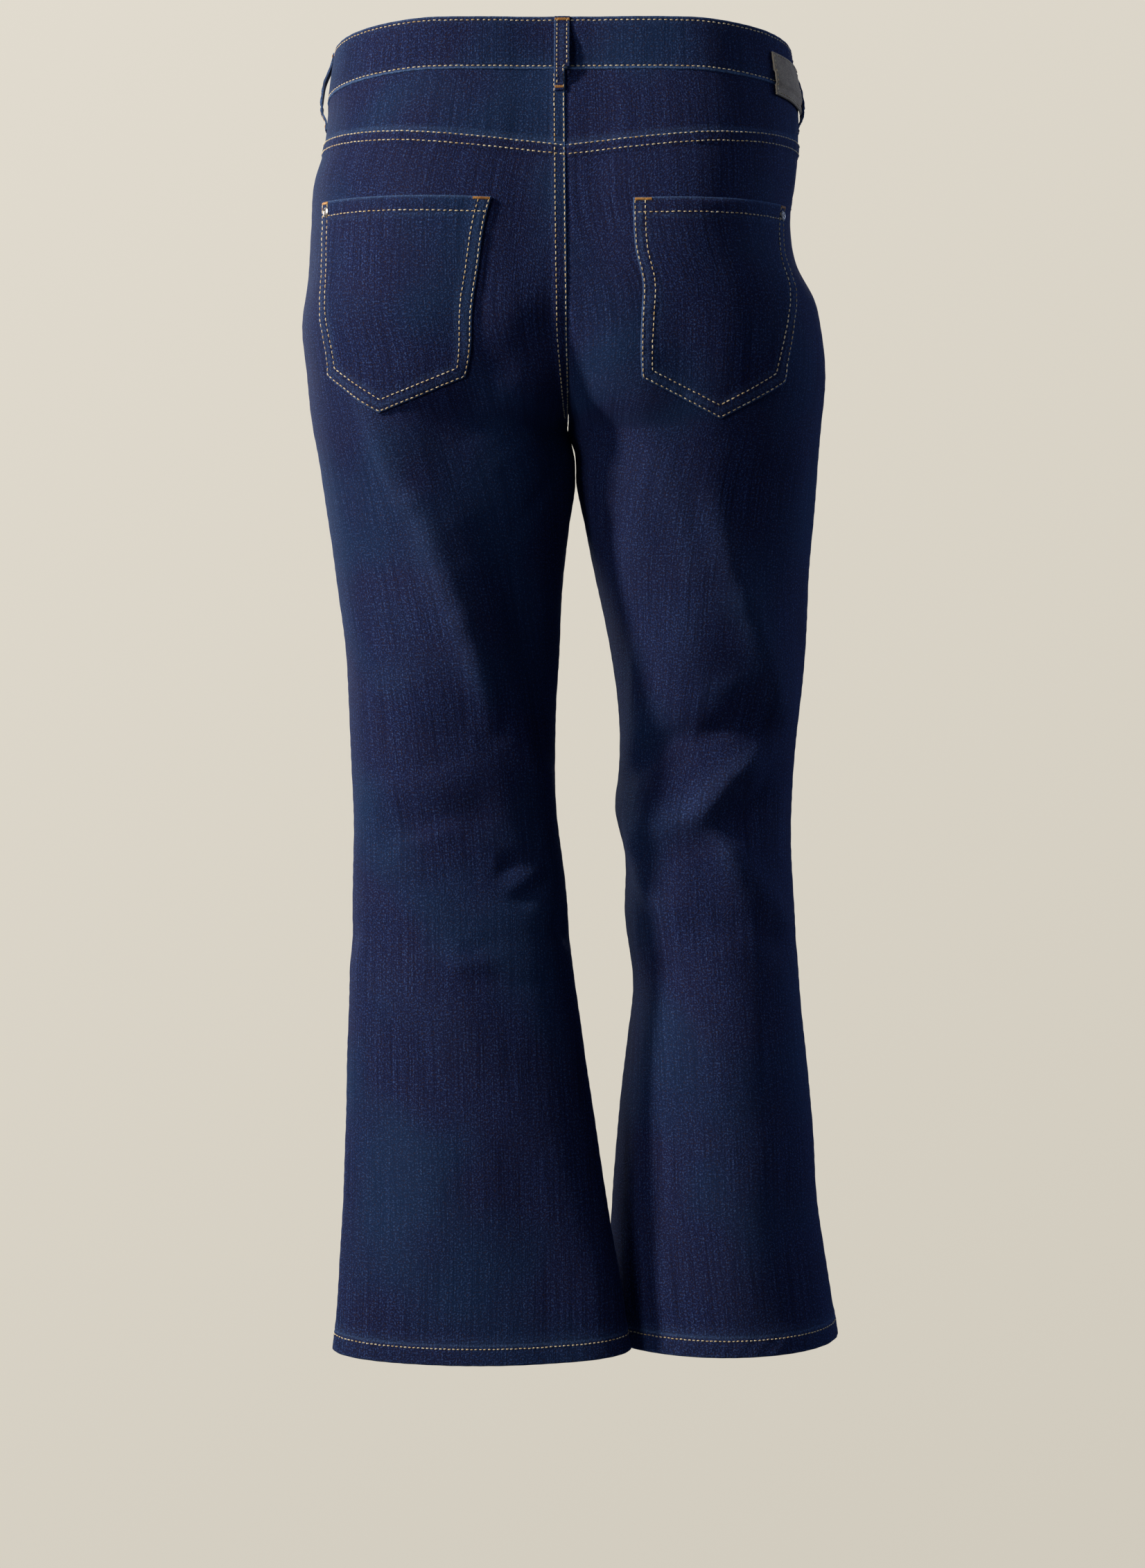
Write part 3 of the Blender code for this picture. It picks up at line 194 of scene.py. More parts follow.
wrinkles = {  # the others between them, uneven in length, depth and spacing
    ("left", "back"): (
        (0.24, -0.256, 0.35, -0.330, 0.0050, 0.010),
        (0.46, -0.262, 0.58, -0.345, -0.0060, 0.022),
        (0.90, -0.206, 0.72, -0.236, -0.0044, 0.020),
        (0.72, -0.236, 0.60, -0.276, -0.0036, 0.020),
        (0.38, -0.330, 0.56, -0.420, 0.0050, 0.010),
        (0.56, -0.420, 0.70, -0.492, 0.0044, 0.010),
        (0.64, -0.270, 0.74, -0.370, -0.0060, 0.028),
        (0.74, -0.370, 0.90, -0.470, -0.0070, 0.028),
        (0.26, -0.590, 0.52, -0.577, 0.0018, 0.007),
        (0.70, -0.612, 0.82, -0.598, -0.0016, 0.005),
        (0.74, -0.624, 0.90, -0.606, 0.0018, 0.005),
        (0.80, -0.632, 0.94, -0.616, -0.0016, 0.005),
        (0.05, -0.664, 0.55, -0.667, 0.0018, 0.006),
        (0.55, -0.667, 0.98, -0.655, -0.0026, 0.007),
        (0.50, -0.678, 0.97, -0.666, 0.0020, 0.007),
        (0.80, -0.262, 0.60, -0.282, -0.0009, 0.006),
        (0.86, -0.280, 0.70, -0.304, 0.0008, 0.007),
        (0.94, -0.300, 0.80, -0.345, -0.0010, 0.007),
        (0.10, -0.300, 0.24, -0.318, -0.0007, 0.007),
        (0.16, -0.470, 0.36, -0.462, 0.0010, 0.009),
        (0.52, -0.478, 0.74, -0.500, -0.0012, 0.008),
        (0.30, -0.530, 0.56, -0.522, -0.0012, 0.008),
        (0.08, -0.548, 0.30, -0.542, 0.0010, 0.008),
        (0.50, -0.572, 0.70, -0.592, 0.0012, 0.008),
        (0.76, -0.598, 0.93, -0.606, -0.0014, 0.006),
        (0.80, -0.612, 0.94, -0.624, 0.0012, 0.006),
        (0.72, -0.628, 0.90, -0.634, -0.0012, 0.006),
        (0.14, -0.622, 0.44, -0.616, -0.0010, 0.008),
        (0.30, -0.674, 0.66, -0.678, 0.0010, 0.007),
        (0.60, -0.690, 0.88, -0.696, -0.0010, 0.008),
        (0.14, -0.724, 0.40, -0.770, -0.0009, 0.010),
        (0.50, -0.780, 0.60, -0.850, 0.0008, 0.012),
    ),
    ("left", "front"): (
        (0.97, -0.236, 0.70, -0.220, -0.0010, 0.007),
        (0.97, -0.262, 0.66, -0.246, 0.0010, 0.007),
        (0.95, -0.290, 0.62, -0.288, -0.0011, 0.008),
        (0.90, -0.318, 0.60, -0.336, 0.0010, 0.009),
        (0.30, -0.530, 0.60, -0.540, -0.0010, 0.009),
        (0.20, -0.580, 0.56, -0.592, 0.0011, 0.008),
        (0.60, -0.620, 0.88, -0.610, -0.0011, 0.008),
        (0.30, -0.676, 0.70, -0.690, 0.0010, 0.010),
        (0.10, -0.100, 0.34, -0.088, 0.0007, 0.009),
        (0.60, -0.120, 0.80, -0.150, -0.0007, 0.010),
    ),
    ("right", "back"): (
        (0.64, -0.300, 0.56, -0.380, 0.0018, 0.012),
        (0.46, -0.330, 0.34, -0.400, 0.0022, 0.010),
        (0.34, -0.400, 0.16, -0.482, 0.0026, 0.010),
        (0.40, -0.290, 0.26, -0.380, -0.0014, 0.020),
        (0.50, -0.400, 0.30, -0.470, -0.0012, 0.018),
        (0.88, -0.528, 0.76, -0.511, -0.0018, 0.007),
        (0.76, -0.511, 0.42, -0.500, -0.0020, 0.007),
        (0.24, -0.516, 0.40, -0.540, 0.0018, 0.007),
        (0.42, -0.548, 0.56, -0.570, 0.0016, 0.008),
        (0.46, -0.584, 0.34, -0.614, 0.0016, 0.007),
        (0.93, -0.618, 0.80, -0.644, 0.0014, 0.007),
        (0.90, -0.258, 0.72, -0.286, -0.0010, 0.006),
        (0.94, -0.284, 0.80, -0.312, 0.0009, 0.006),
        (0.96, -0.318, 0.84, -0.350, -0.0010, 0.007),
        (0.22, -0.300, 0.36, -0.322, -0.0008, 0.008),
        (0.86, -0.430, 0.94, -0.486, 0.0010, 0.008),
        (0.52, -0.470, 0.34, -0.462, 0.0012, 0.008),
        (0.80, -0.524, 0.58, -0.504, 0.0012, 0.006),
        (0.86, -0.545, 0.66, -0.532, -0.0013, 0.007),
        (0.16, -0.540, 0.34, -0.580, -0.0013, 0.007),
        (0.50, -0.604, 0.30, -0.634, 0.0012, 0.007),
        (0.90, -0.622, 0.74, -0.630, -0.0012, 0.007),
        (0.66, -0.640, 0.50, -0.668, -0.0012, 0.007),
        (0.30, -0.664, 0.12, -0.690, 0.0010, 0.009),
        (0.70, -0.716, 0.50, -0.742, 0.0009, 0.010),
        (0.20, -0.720, 0.28, -0.800, -0.0009, 0.012),
    ),
    ("right", "front"): (
        (0.96, -0.232, 0.68, -0.210, -0.0010, 0.007),
        (0.97, -0.258, 0.60, -0.232, 0.0011, 0.007),
        (0.95, -0.288, 0.58, -0.272, -0.0011, 0.008),
        (0.92, -0.318, 0.62, -0.320, 0.0010, 0.009),
        (0.70, -0.450, 0.40, -0.430, 0.0009, 0.010),
        (0.80, -0.600, 0.62, -0.660, -0.0010, 0.010),
        (0.20, -0.640, 0.42, -0.700, 0.0010, 0.010),
        (0.10, -0.100, 0.36, -0.090, 0.0007, 0.009),
        (0.62, -0.130, 0.84, -0.156, -0.0007, 0.010),
    ),
}
sideSigns = {"left": 1.0, "right": -1.0}


def curveThrough(xs, ys, x):
    # Hermite pieces through the points (xs, ys), with the slope that the neighbours give, read at x.
    slopes = np.gradient(ys, xs)
    i = np.clip(np.searchsorted(xs, x) - 1, 0, len(xs) - 2)
    step = xs[i + 1] - xs[i]
    s = np.clip((x - xs[i]) / step, 0.0, 1.0)
    start = ys[i] * (1 + 2 * s) * (1 - s) ** 2 + slopes[i] * step * s * (1 - s) ** 2
    end = ys[i + 1] * s**2 * (3 - 2 * s) - slopes[i + 1] * step * s**2 * (1 - s)
    return start + end


def unit(vectors):
    return vectors / np.maximum(np.linalg.norm(vectors, axis=-1, keepdims=True), 1e-12)


def smooth(x):
    # An S from 0 to 1 while x goes from 0 to 1.
    x = np.clip(x, 0, 1)
    return x * x * (3 - 2 * x)


def bell(x, width):
    return np.exp(-((x / width) ** 2))


def runAlong(line):
    # How far each point of a line is from its first one.
    return np.concatenate([[0.0], np.cumsum(np.linalg.norm(np.diff(line, axis=0), axis=1))])


def readTable(x, xs, table):
    # All columns of a table read at x, straight between its rows.
    return np.stack([np.interp(x, xs, column) for column in table.T], axis=-1)


def quarterRing(start, startWay, end, endWay, fullness):
    # A Bezier arc that leaves along startWay and arrives along endWay, its handles a share of the span.
    span = np.abs(end - start)
    startReach = (span * np.abs(startWay)).sum(-1, keepdims=True) * fullness[:, None]
    endReach = (span * np.abs(endWay)).sum(-1, keepdims=True) * fullness[:, None]
    points = (start, start + startWay * startReach, end - endWay * endReach, end)
    s = np.linspace(0, 1, 25)
    weights = ((1 - s) ** 3, 3 * s * (1 - s) ** 2, 3 * s**2 * (1 - s), s**3)
    return sum(w[None, :, None] * p[:, None, :] for w, p in zip(weights, points))


def evenRing(ring, count):
    along = runAlong(ring)
    return readTable(np.linspace(0, along[-1], count), along, ring)


def sideRings(sign, legRows, levels):
    # A ring at each level: four quarter arcs in plan, whose z eases from the centre seam to the outseam.
    leg = dict(zip(legColumns, np.array(legRows).T))
    fall, down = np.clip(levels, 0, 1), np.clip(levels - 1, 0, 1)
    sideZ = shape["waistSideZ"] + (shape["crotchZ"] - shape["waistSideZ"]) * fall
    sideZ = sideZ + (shape["hemZ"] - shape["crotchZ"]) * down
    outer, inner, front, back, fullness = (curveThrough(-leg["z"], leg[k], -sideZ) for k in legColumns[1:])
    middleY = (front + back) / 2
    riseTable = dict(zip(riseColumns, np.array(rise).T))
    centre = {k: curveThrough(riseTable["fall"], riseTable[k], fall) for k in riseColumns[1:]}
    x0, x1 = shape["centreX"]
    inLeg = levels > 1
    innerX = np.where(inLeg, inner, x0 + (x1 - x0) * fall) + sign * shape["seamGap"]
    frontEnd = np.stack([innerX, np.where(inLeg, middleY, centre["frontY"])], axis=1)
    backEnd = np.stack([innerX, np.where(inLeg, middleY, centre["backY"])], axis=1)
    turn = np.clip((fall - shape["grooveStart"]) / (1 - shape["grooveStart"]), 0, 1) ** 2 * math.pi / 2
    leaving = np.stack([sign * np.cos(turn), -np.sin(turn)], axis=1)
    arriving = np.stack([-sign * np.cos(turn), -np.sin(turn)], axis=1)
    legMiddle, share = (outer + inner) / 2, fall**1.5
    frontX = shape["frontMost"] * outer + share * (legMiddle - shape["frontMost"] * outer)
    backX = shape["backMost"] * outer + share * (legMiddle - shape["backMost"] * outer)
    frontMost, backMost = np.stack([frontX, front], axis=1), np.stack([backX, back], axis=1)
    outermost = np.stack([outer, middleY], axis=1)
    outwards, backwards = np.tile([sign, 0.0], (len(fall), 1)), np.tile([0.0, 1.0], (len(fall), 1))
    plan = (
        quarterRing(frontEnd, leaving, frontMost, outwards, fullness),
        quarterRing(frontMost, outwards, outermost, backwards, fullness),
        quarterRing(outermost, backwards, backMost, -outwards, fullness),
        quarterRing(backMost, -outwards, backEnd, arriving, fullness),
    )
    half = (shape["columns"] + 1) // 2
    frontHalf = np.concatenate([plan[0], plan[1][:, 1:]], axis=1)
    backHalf = np.concatenate([plan[2], plan[3][:, 1:]], axis=1)
    rings = [np.concatenate([evenRing(a, half), evenRing(b, half)[1:]]) for a, b in zip(frontHalf, backHalf)]
    rings = np.array(rings)
    ease = (1 - np.cos(np.linspace(0, math.pi, half))) / 2
    frontZ, backZ = np.where(inLeg, sideZ, centre["frontZ"]), np.where(inLeg, sideZ, centre["backZ"])
    z = frontZ[:, None] + (sideZ - frontZ)[:, None] * ease
    z = np.concatenate([z, sideZ[:, None] + (backZ - sideZ)[:, None] * ease[1:]], axis=1)
    tilt = smooth(1 - fall / shape["tiltFall"])[:, None]
    apart = rings[..., 1] - middleY[:, None]
    behind, before = backEnd[:, 1] - middleY, middleY - frontEnd[:, 1]
    backShare = np.clip(apart / np.maximum(behind, 0.01)[:, None], 0, 1)
    frontShare = np.clip(-apart / np.maximum(before, 0.01)[:, None], 0, 1)
    tilted = sideZ[:, None] + (backZ - sideZ)[:, None] * backShare + (frontZ - sideZ)[:, None] * frontShare
    z += (tilted - z) * tilt
    depth = apart / ((back - front) / 2)[:, None]
    z -= shape["hemBackDrop"] * (down**3)[:, None] * depth
    return np.concatenate([rings, z[..., None]], axis=2)


def outward(points, sign, inLeg):
    # Normals out of the leg. They meet at the inseam, and don't cross the middle along the centre seams.
    normals = unit(np.cross(np.gradient(points, axis=1), np.gradient(points, axis=0)) * -sign)
    both = unit(normals[:, 0] + normals[:, -1])
    for column in (0, -1):
        normals[inLeg, column] = both[inLeg]
        edge = normals[~inLeg, column]
        edge[:, 0] = sign * np.minimum(sign * edge[:, 0], 0)
        normals[~inLeg, column] = unit(edge)
    return normals


def seenPlace(points, face, across, z):
    # The lattice point seen at that share of the way from the outseam to the inseam, at that height.
    half = shape["columns"] // 2
    columns = slice(half, None) if face == "back" else slice(half, None, -1)
    ring = points[np.abs(points[:, half, 2] - z).argmin(), columns]
    x = ring[0, 0] + (ring[-1, 0] - ring[0, 0]) * across
    return ring[np.abs(ring[:, 0] - x).argmin()]


def foldRelief(points, name, table):
    # Each row raises or sinks the cloth along a line: its section is a bell, lower at the line's ends.
    heights = np.zeros(points.shape[:2])
    for face in ("back", "front"):
        for fromAcross, fromZ, toAcross, toZ, height, width in table[name, face]:
            start = seenPlace(points, face, fromAcross, fromZ)
            way = seenPlace(points, face, toAcross, toZ) - start
            share = np.clip((points - start) @ way / (way @ way), 0, 1)
            away = np.linalg.norm(points - start - share[..., None] * way, axis=2)
            heights += height * (0.55 + 0.45 * np.sin(math.pi * share)) * bell(away, width)
    return heights


waves = (  # pace along x, y and z, start of the wave, and height
    (31, 9, 17, 0.3, 0.00022),
    (13, 5, 41, 1.9, 0.00020),
    (57, 21, 29, 4.1, 0.00012),
    (8, 3, 88, 2.6, 0.00010),
)


def unevenness(points):
    # Long soft waves of cloth that hangs free: a few sines along slanted directions, under half a millimetre.
    x, y, z = np.moveaxis(points, -1, 0)
    return sum(size * np.sin(a * x * 2 + b * y * 2 + c * z + turn) for a, b, c, turn, size in waves)


def makeSide(name, legRows):
    sign, levels = sideSigns[name], np.linspace(0, 2, shape["rows"])
    points = sideRings(sign, legRows, levels)
    half = shape["columns"] // 2
    steps = np.linalg.norm(np.diff(points, axis=1), axis=2)
    normals = outward(points, sign, levels > 1)
    main = foldRelief(points, name, folds)
    fine = foldRelief(points, name, wrinkles) + unevenness(points)
    points = points + normals * (main + fine)[..., None]
    side = {"name": name, "sign": sign, "levels": levels, "points": points}
    side["frontLengths"], side["lengths"] = steps[:, :half].sum(1), steps[:, half:].sum(1)
    side["normals"] = outward(points, sign, levels > 1)
    side["heights"] = (main + 2 * fine)[..., None]
    return side


def readField(field, level, round_):
    # A field between the lattice's own points: level 0 waist seam, 1 crotch, 2 hem; round_ 0 centre front or
    # inseam, 0.5 outseam, 1 centre back or inseam.
    level, round_ = np.broadcast_arrays(np.asarray(level, float), np.asarray(round_, float))
    rows, columns = field.shape[0] - 1, field.shape[1] - 1
    row, column = np.clip(level / 2, 0, 1) * rows, np.clip(round_, 0, 1) * columns
    i, j = np.minimum(row.astype(int), rows - 1), np.minimum(column.astype(int), columns - 1)
    a, b = (row - i)[..., None], (column - j)[..., None]
    upper = field[i, j] * (1 - b) + field[i, j + 1] * b
    lower = field[i + 1, j] * (1 - b) + field[i + 1, j + 1] * b
    return upper * (1 - a) + lower * a


def sideAt(side, level, round_):
    return readField(side["points"], level, round_), unit(readField(side["normals"], level, round_))


def findPlace(side, distance, z):
    # The level and round_ at this distance behind the outseam and this height, found by correcting the level.
    distance, z = np.broadcast_arrays(np.asarray(distance, float), np.asarray(z, float))
    level = np.clip((shape["waistSideZ"] - z) / hipHeight, 0, 1)
    for _ in range(8):
        round_ = 0.5 + 0.5 * distance / np.interp(level, side["levels"], side["lengths"])
        error = readField(side["points"], level, round_)[..., 2] - z
        level = np.clip(level + error / hipHeight, 0, 1)
    return level, round_


def downBy(side, level, round_, distance):
    # The level that lies this distance further down the cloth.
    step = 0.01
    pace = np.linalg.norm(sideAt(side, level + step, round_)[0] - sideAt(side, level, round_)[0], axis=-1)
    return level + distance * step / np.maximum(pace, 1e-6)


sides = {"left": makeSide("left", leftLeg), "right": makeSide("right", rightLeg)}
print("lattices made")

# The waistband's own coordinates: run goes from the centre front, positive to the wearer's left, and drop
# goes down from its top edge.
waistband = {
    "height": 0.040,
    "lean": 0.006,  # how far its top edge leans in
    "proud": 0.0011,  # its face over the panels' face
    "wall": 0.0020,
    "flyEnd": 0.004,  # its buttonhole end past the centre front
    "underEnd": 0.034,  # its button end past it, underneath
    "overlapRun": 0.040,  # where the button end starts to sink
    "overlapDrop": 0.0030,
    "holeStart": 0.002,
    "hole": (0.016, 0.0034),  # the buttonhole's width and height
    "rows": (0.0030, 0.0374),  # topstitching below the top edge
    "step": 0.0026,  # of its grid
    "flat": (1.02, 0.040),
    "area": 0.0385,
}
waistPaths = {name: (runAlong(side["points"][0]), side["points"][0]) for name, side in sides.items()}
halfWaist = {name: along[-1] for name, (along, _) in waistPaths.items()}
girth = halfWaist["left"] + halfWaist["right"]


def onSide(run, name):
    # Which places along the waistband lie on that leg's side of the centre front.
    return run >= 0 if name == "left" else run < 0


def waistSeam(run):
    run = np.asarray(run, float)
    run = np.where(run > halfWaist["left"], run - girth, run)
    points = np.zeros((*run.shape, 3))
    for name, (along, ring) in waistPaths.items():
        mine = onSide(run, name)
        points[mine] = readTable(np.abs(run[mine]), along, ring)
    return points


def waistFace(run, drop):
    # The seam line carried straight up with a slight lean; below the seam, the panels' own face.
    run, drop = np.broadcast_arrays(np.asarray(run, float), np.asarray(drop, float))
    way = waistSeam(run + 0.004) - waistSeam(run - 0.004)
    way[..., 2] = 0
    way = unit(way)
    out = np.stack([way[..., 1], -way[..., 0], np.zeros(way.shape[:-1])], axis=-1)
    up = np.clip(waistband["height"] - drop, 0, None)[..., None]
    lean = waistband["lean"] / waistband["height"]
    points = waistSeam(run) + out * (waistband["proud"] - lean * up) + np.array([0, 0, 1.0]) * up
    normals = unit(out + np.array([0, 0, lean]))
    even = np.linspace(0, 1, shape["columns"])
    for name, side in sides.items():
        mine = (drop > waistband["height"]) & onSide(run, name)
        if mine.any():
            shares = waistPaths[name][0] / halfWaist[name]
            round_ = np.interp(np.abs(run[mine]) / halfWaist[name], shares, even)
            level = (drop[mine] - waistband["height"]) / hipHeight
            points[mine], normals[mine] = sideAt(side, level, round_)
    return points, normals


def linear(hexColour):
    parts = [int(hexColour[i : i + 2], 16) / 255 for i in (1, 3, 5)]
    return [c / 12.92 if c <= 0.04045 else ((c + 0.055) / 1.055) ** 2.4 for c in parts] + [1.0]


def addNode(tree, kind, inputs=None, **settings):
    made = tree.nodes.new("ShaderNode" + kind)
    for key, value in settings.items():
        setattr(made, key, value)
    for key, value in (inputs or {}).items():
        if isinstance(value, bpy.types.NodeSocket):
            tree.links.new(value, made.inputs[key])
        else:
            made.inputs[key].default_value = value
    return made


def newMaterial(name, **constants):
    material = bpy.data.materials.new(name)
    material.use_nodes = True
    tree = material.node_tree
    shader = tree.nodes["Principled BSDF"]
    for key, value in constants.items():
        shader.inputs[key.replace("_", " ")].default_value = value
    return material, tree, shader


def finished(made, colour, relief, strength, depth):
    # Gives a new material its colour and its fine relief, this many metres deep.
    material, tree, shader = made
    bump = addNode(tree, "Bump", {"Height": relief, "Strength": strength, "Distance": depth}).outputs[0]
    tree.links.new(colour, shader.inputs["Base Color"])
    tree.links.new(bump, shader.inputs["Normal"])
    return material


def clothMillimetres(tree):
    # The cloth's own UV, which is in metres, turned to millimetres.
    uv = addNode(tree, "UVMap", uv_map="cloth").outputs[0]
    return addNode(tree, "VectorMath", {0: uv, 1: (1000, 1000, 1000)}, operation="MULTIPLY").outputs[0]


denimLooks = {  # the face: indigo warp over a pale weft
    "valley": "#04071a",
    "warp": "#262f5e",
    "pale": "#5c7aa9",  # weft and rubbed warp
    "worn": "#6f90bd",  # the ropy edges, nearly bare
    "tinge": "#1f1c3a",  # where the indigo is redder
    "rust": "#4f3f48",  # a few weft yarns that kept their natural brown
    "teal": "#153253",  # painted light: a cool cast like the one the flanks catch, laid in random patches
    "tingeShare": 0.35,
    "paintedCastShare": 0.55,
    "paleShare": 0.50,
    "twillPitch": 1.9,  # mm; the real 0.9 mm wale is too fine to show, so it is drawn twice as coarse
    "slubWidth": 1.1,  # mm, a thick yarn of the warp
    "slubLength": 90.0,
    "speckle": 1.5,  # mm, the pale weft between the warp yarns
    "cloud": 46.0,  # mm, uneven dyeing
    "shade": 150.0,  # mm, where the cloth's hue gives way to the painted cool cast
    "bump": 0.45,
}
reverseLooks = {  # the back of the same cloth: mostly weft
    **denimLooks,
    "valley": "#25305a",
    "rust": "#8d8580",
    "warp": "#66779c",
    "pale": "#a9b3c4",
    "worn": "#c2cad6",
    "tinge": "#59627f",
    "tingeShare": 0.3,
    # painted light: the reverse's cool cast, laid in random patches like the face's
    "teal": "#5a7390",
    "paleShare": 0.55,
}


def twillCloth(name, looks):
    # Stretch denim, woven 3/1 in a right-hand twill and rinsed once: matt and a little fuzzy, with fine
    # slanting wales, thick and thin streaks along the warp, pale specks of weft, and paler yarn where an edge
    # has rubbed. Its greener patches are painted light, a cool cast laid at random.
    made = newMaterial(
        name,
        Roughness=0.88,
        Specular_IOR_Level=0.15,
        Sheen_Weight=0.15,
        Sheen_Roughness=0.5,
        Sheen_Tint=linear("#4f72b8"),
    )
    tree = made[1]
    mm = clothMillimetres(tree)
    slanted = addNode(tree, "Mapping", {"Vector": mm, "Rotation": (0, 0, math.radians(-28))}).outputs[0]
    waleScale = 0.31416 / looks["twillPitch"]
    wale = {"Vector": slanted, "Scale": waleScale, "Distortion": 2.0, "Detail": 2.0, "Detail Scale": 2.5}
    twill = addNode(tree, "TexWave", wale).outputs["Fac"]
    stretch = (1 / looks["slubWidth"], 1 / looks["slubLength"], 1)
    alongWarp = addNode(tree, "Mapping", {"Vector": mm, "Scale": stretch}).outputs[0]
    noises = {  # the space they are read in, scale, detail and roughness
        "slub": (alongWarp, 1.0, 4.0, 0.65),
        "speck": (mm, 1 / looks["speckle"], 2.0, 0.75),
        "cloud": (mm, 1 / looks["cloud"], 3.0, 0.6),
        "shade": (mm, 1 / looks["shade"], 2.0, 0.5),
    }
    noise = {}
    for key, (space, scale, detail, rough) in noises.items():
        settings = {"Vector": space, "Scale": scale, "Detail": detail, "Roughness": rough}
        noise[key] = addNode(tree, "TexNoise", settings).outputs[0]
    shares = {  # the noise they follow, its reading at both ends, and what they are there
        "yarn": ("slub", 0.38, 0.64, 0, 1),
        "tone": ("speck", 0.40, 0.60, 0, 1.7),
        "fleck": ("speck", 0.53, 0.63, 0, looks["paleShare"]),
        "brown": ("speck", 0.41, 0.35, 0, 0.5),
        "redder": ("cloud", 0.38, 0.62, 0, looks["tingeShare"]),
        "paintedCoolCast": ("shade", 0.48, 0.62, 0, looks["paintedCastShare"]),
        "tufts": ("speck", 0.30, 0.66, 0.25, 1.15),
    }
    share = {}
    for key, (source, *limits) in shares.items():
        share[key] = addNode(tree, "MapRange", dict(enumerate([noise[source], *limits]))).outputs[0]
    weave = addNode(tree, "Math", {0: twill, 1: 0.45, 2: share["yarn"]}, operation="MULTIPLY_ADD").outputs[0]
    weave = addNode(tree, "Math", {0: weave, 1: share["tone"]}).outputs[0]
    weave = addNode(tree, "MapRange", {0: weave, 1: 0.3, 2: 2.7}).outputs[0]
    flecked = addNode(tree, "Math", {0: share["fleck"], 1: share["yarn"]}, operation="MULTIPLY").outputs[0]
    faded = {0: addNode(tree, "Attribute", attribute_name="fade").outputs["Fac"], 1: share["tufts"]}
    rubbed = addNode(tree, "Math", faded, operation="MULTIPLY", use_clamp=True).outputs[0]
    layers = (
        (weave, "warp"),
        (share["redder"], "tinge"),
        # painted light: the cool cast, mixed in at random
        (share["paintedCoolCast"], "teal"),
        (flecked, "pale"),
        (share["brown"], "rust"),
        (rubbed, "worn"),
    )
    colour = linear(looks["valley"])
    for part, key in layers:
        mixed = {0: part, 6: colour, 7: linear(looks[key])}
        colour = addNode(tree, "Mix", mixed, data_type="RGBA").outputs[2]
    height = {0: noise["speck"], 1: 0.8, 2: weave}
    height = addNode(tree, "Math", height, operation="MULTIPLY_ADD").outputs[0]
    return finished(made, colour, height, looks["bump"], 0.0005)


def threadMaterial(name, dull, bright):
    # Spun polyester topstitching thread: soft-shining plies, uneven where it dips into the cloth. Its bright
    # tone is a painted highlight, mixed over the dull one in ply-sized and stitch-sized patches.
    made = newMaterial(name, Roughness=0.55, Sheen_Weight=0.25, Sheen_Roughness=0.4)
    tree = made[1]
    place = addNode(tree, "TexCoord").outputs["Object"]
    plies = addNode(tree, "TexNoise", {"Vector": place, "Scale": 1 / 0.0006, "Detail": 2.0}).outputs[0]
    paintedHighlightPatches = addNode(tree, "TexNoise", {"Vector": place, "Scale": 1 / 0.009, "Detail": 1.0}).outputs[0]
    mixed = addNode(tree, "Math", {0: plies, 1: 0.6, 2: paintedHighlightPatches}, operation="MULTIPLY_ADD").outputs[0]
    share = addNode(tree, "MapRange", {0: mixed, 1: 0.55, 2: 1.05}).outputs[0]
    # painted highlight: share picks between the dull tone and the bright one
    colour = addNode(tree, "Mix", {0: share, 6: linear(dull), 7: linear(bright)}, data_type="RGBA").outputs[2]
    return finished(made, colour, plies, 0.5, 0.0002)


leatherLooks = {
    "dark": "#b5987a",
    "light": "#d4b893",
    "creases": "#6b5843",
    "rubbed": "#dcc8a8",
    "grain": 1.3,  # mm
    "blotch": 9.0,
}


def leatherMaterial():
    # Waxed split leather, bare: fine pebbled grain, darker in the creases and paler along the rubbed edge.
    made = newMaterial("taupeLeather", Roughness=0.75, Specular_IOR_Level=0.2)
    tree, tones = made[1], {key: linear(leatherLooks[key]) for key in ("dark", "light", "creases", "rubbed")}
    mm = clothMillimetres(tree)
    pebbles = {"Vector": mm, "Scale": 1 / leatherLooks["grain"], "Randomness": 0.9}
    cells = addNode(tree, "TexVoronoi", pebbles, feature="DISTANCE_TO_EDGE").outputs["Distance"]
    blotches = {"Vector": mm, "Scale": 1 / leatherLooks["blotch"], "Detail": 4.0, "Roughness": 0.6}
    blotch = addNode(tree, "TexNoise", blotches).outputs[0]
    grain = addNode(tree, "MapRange", {0: cells, 1: 0.0, 2: 0.22}).outputs[0]
    share = addNode(tree, "MapRange", {0: blotch, 1: 0.35, 2: 0.68}).outputs[0]
    creases = addNode(tree, "MapRange", {0: grain, 3: 0.55, 4: 0.0}).outputs[0]
    rubbed = addNode(tree, "Attribute", attribute_name="fade").outputs["Fac"]
    colour = tones["dark"]
    for part, key in ((share, "light"), (creases, "creases"), (rubbed, "rubbed")):
        colour = addNode(tree, "Mix", {0: part, 6: colour, 7: tones[key]}, data_type="RGBA").outputs[2]
    return finished(made, colour, grain, 0.35, 0.0003)


def castMetal(name, bright, dark, rough, spot):
    # Pressed and plated brass, tumbled dull: smooth, with fine pits and darker plating in the hollows.
    made = newMaterial(name, Metallic=1.0)
    _, tree, shader = made
    place = addNode(tree, "TexCoord").outputs["Object"]
    pitted = {"Vector": place, "Scale": 1 / spot, "Detail": 4.0, "Roughness": 0.65}
    pits = addNode(tree, "TexNoise", pitted).outputs[0]
    share = addNode(tree, "MapRange", {0: pits, 1: 0.35, 2: 0.62}).outputs[0]
    colour = addNode(tree, "Mix", {0: share, 6: linear(dark), 7: linear(bright)}, data_type="RGBA").outputs[2]
    dull = addNode(tree, "MapRange", {0: pits, 1: 0.3, 2: 0.7, 3: rough + 0.12, 4: rough}).outputs[0]
    tree.links.new(dull, shader.inputs["Roughness"])
    return finished(made, colour, pits, 0.2, 0.0002)


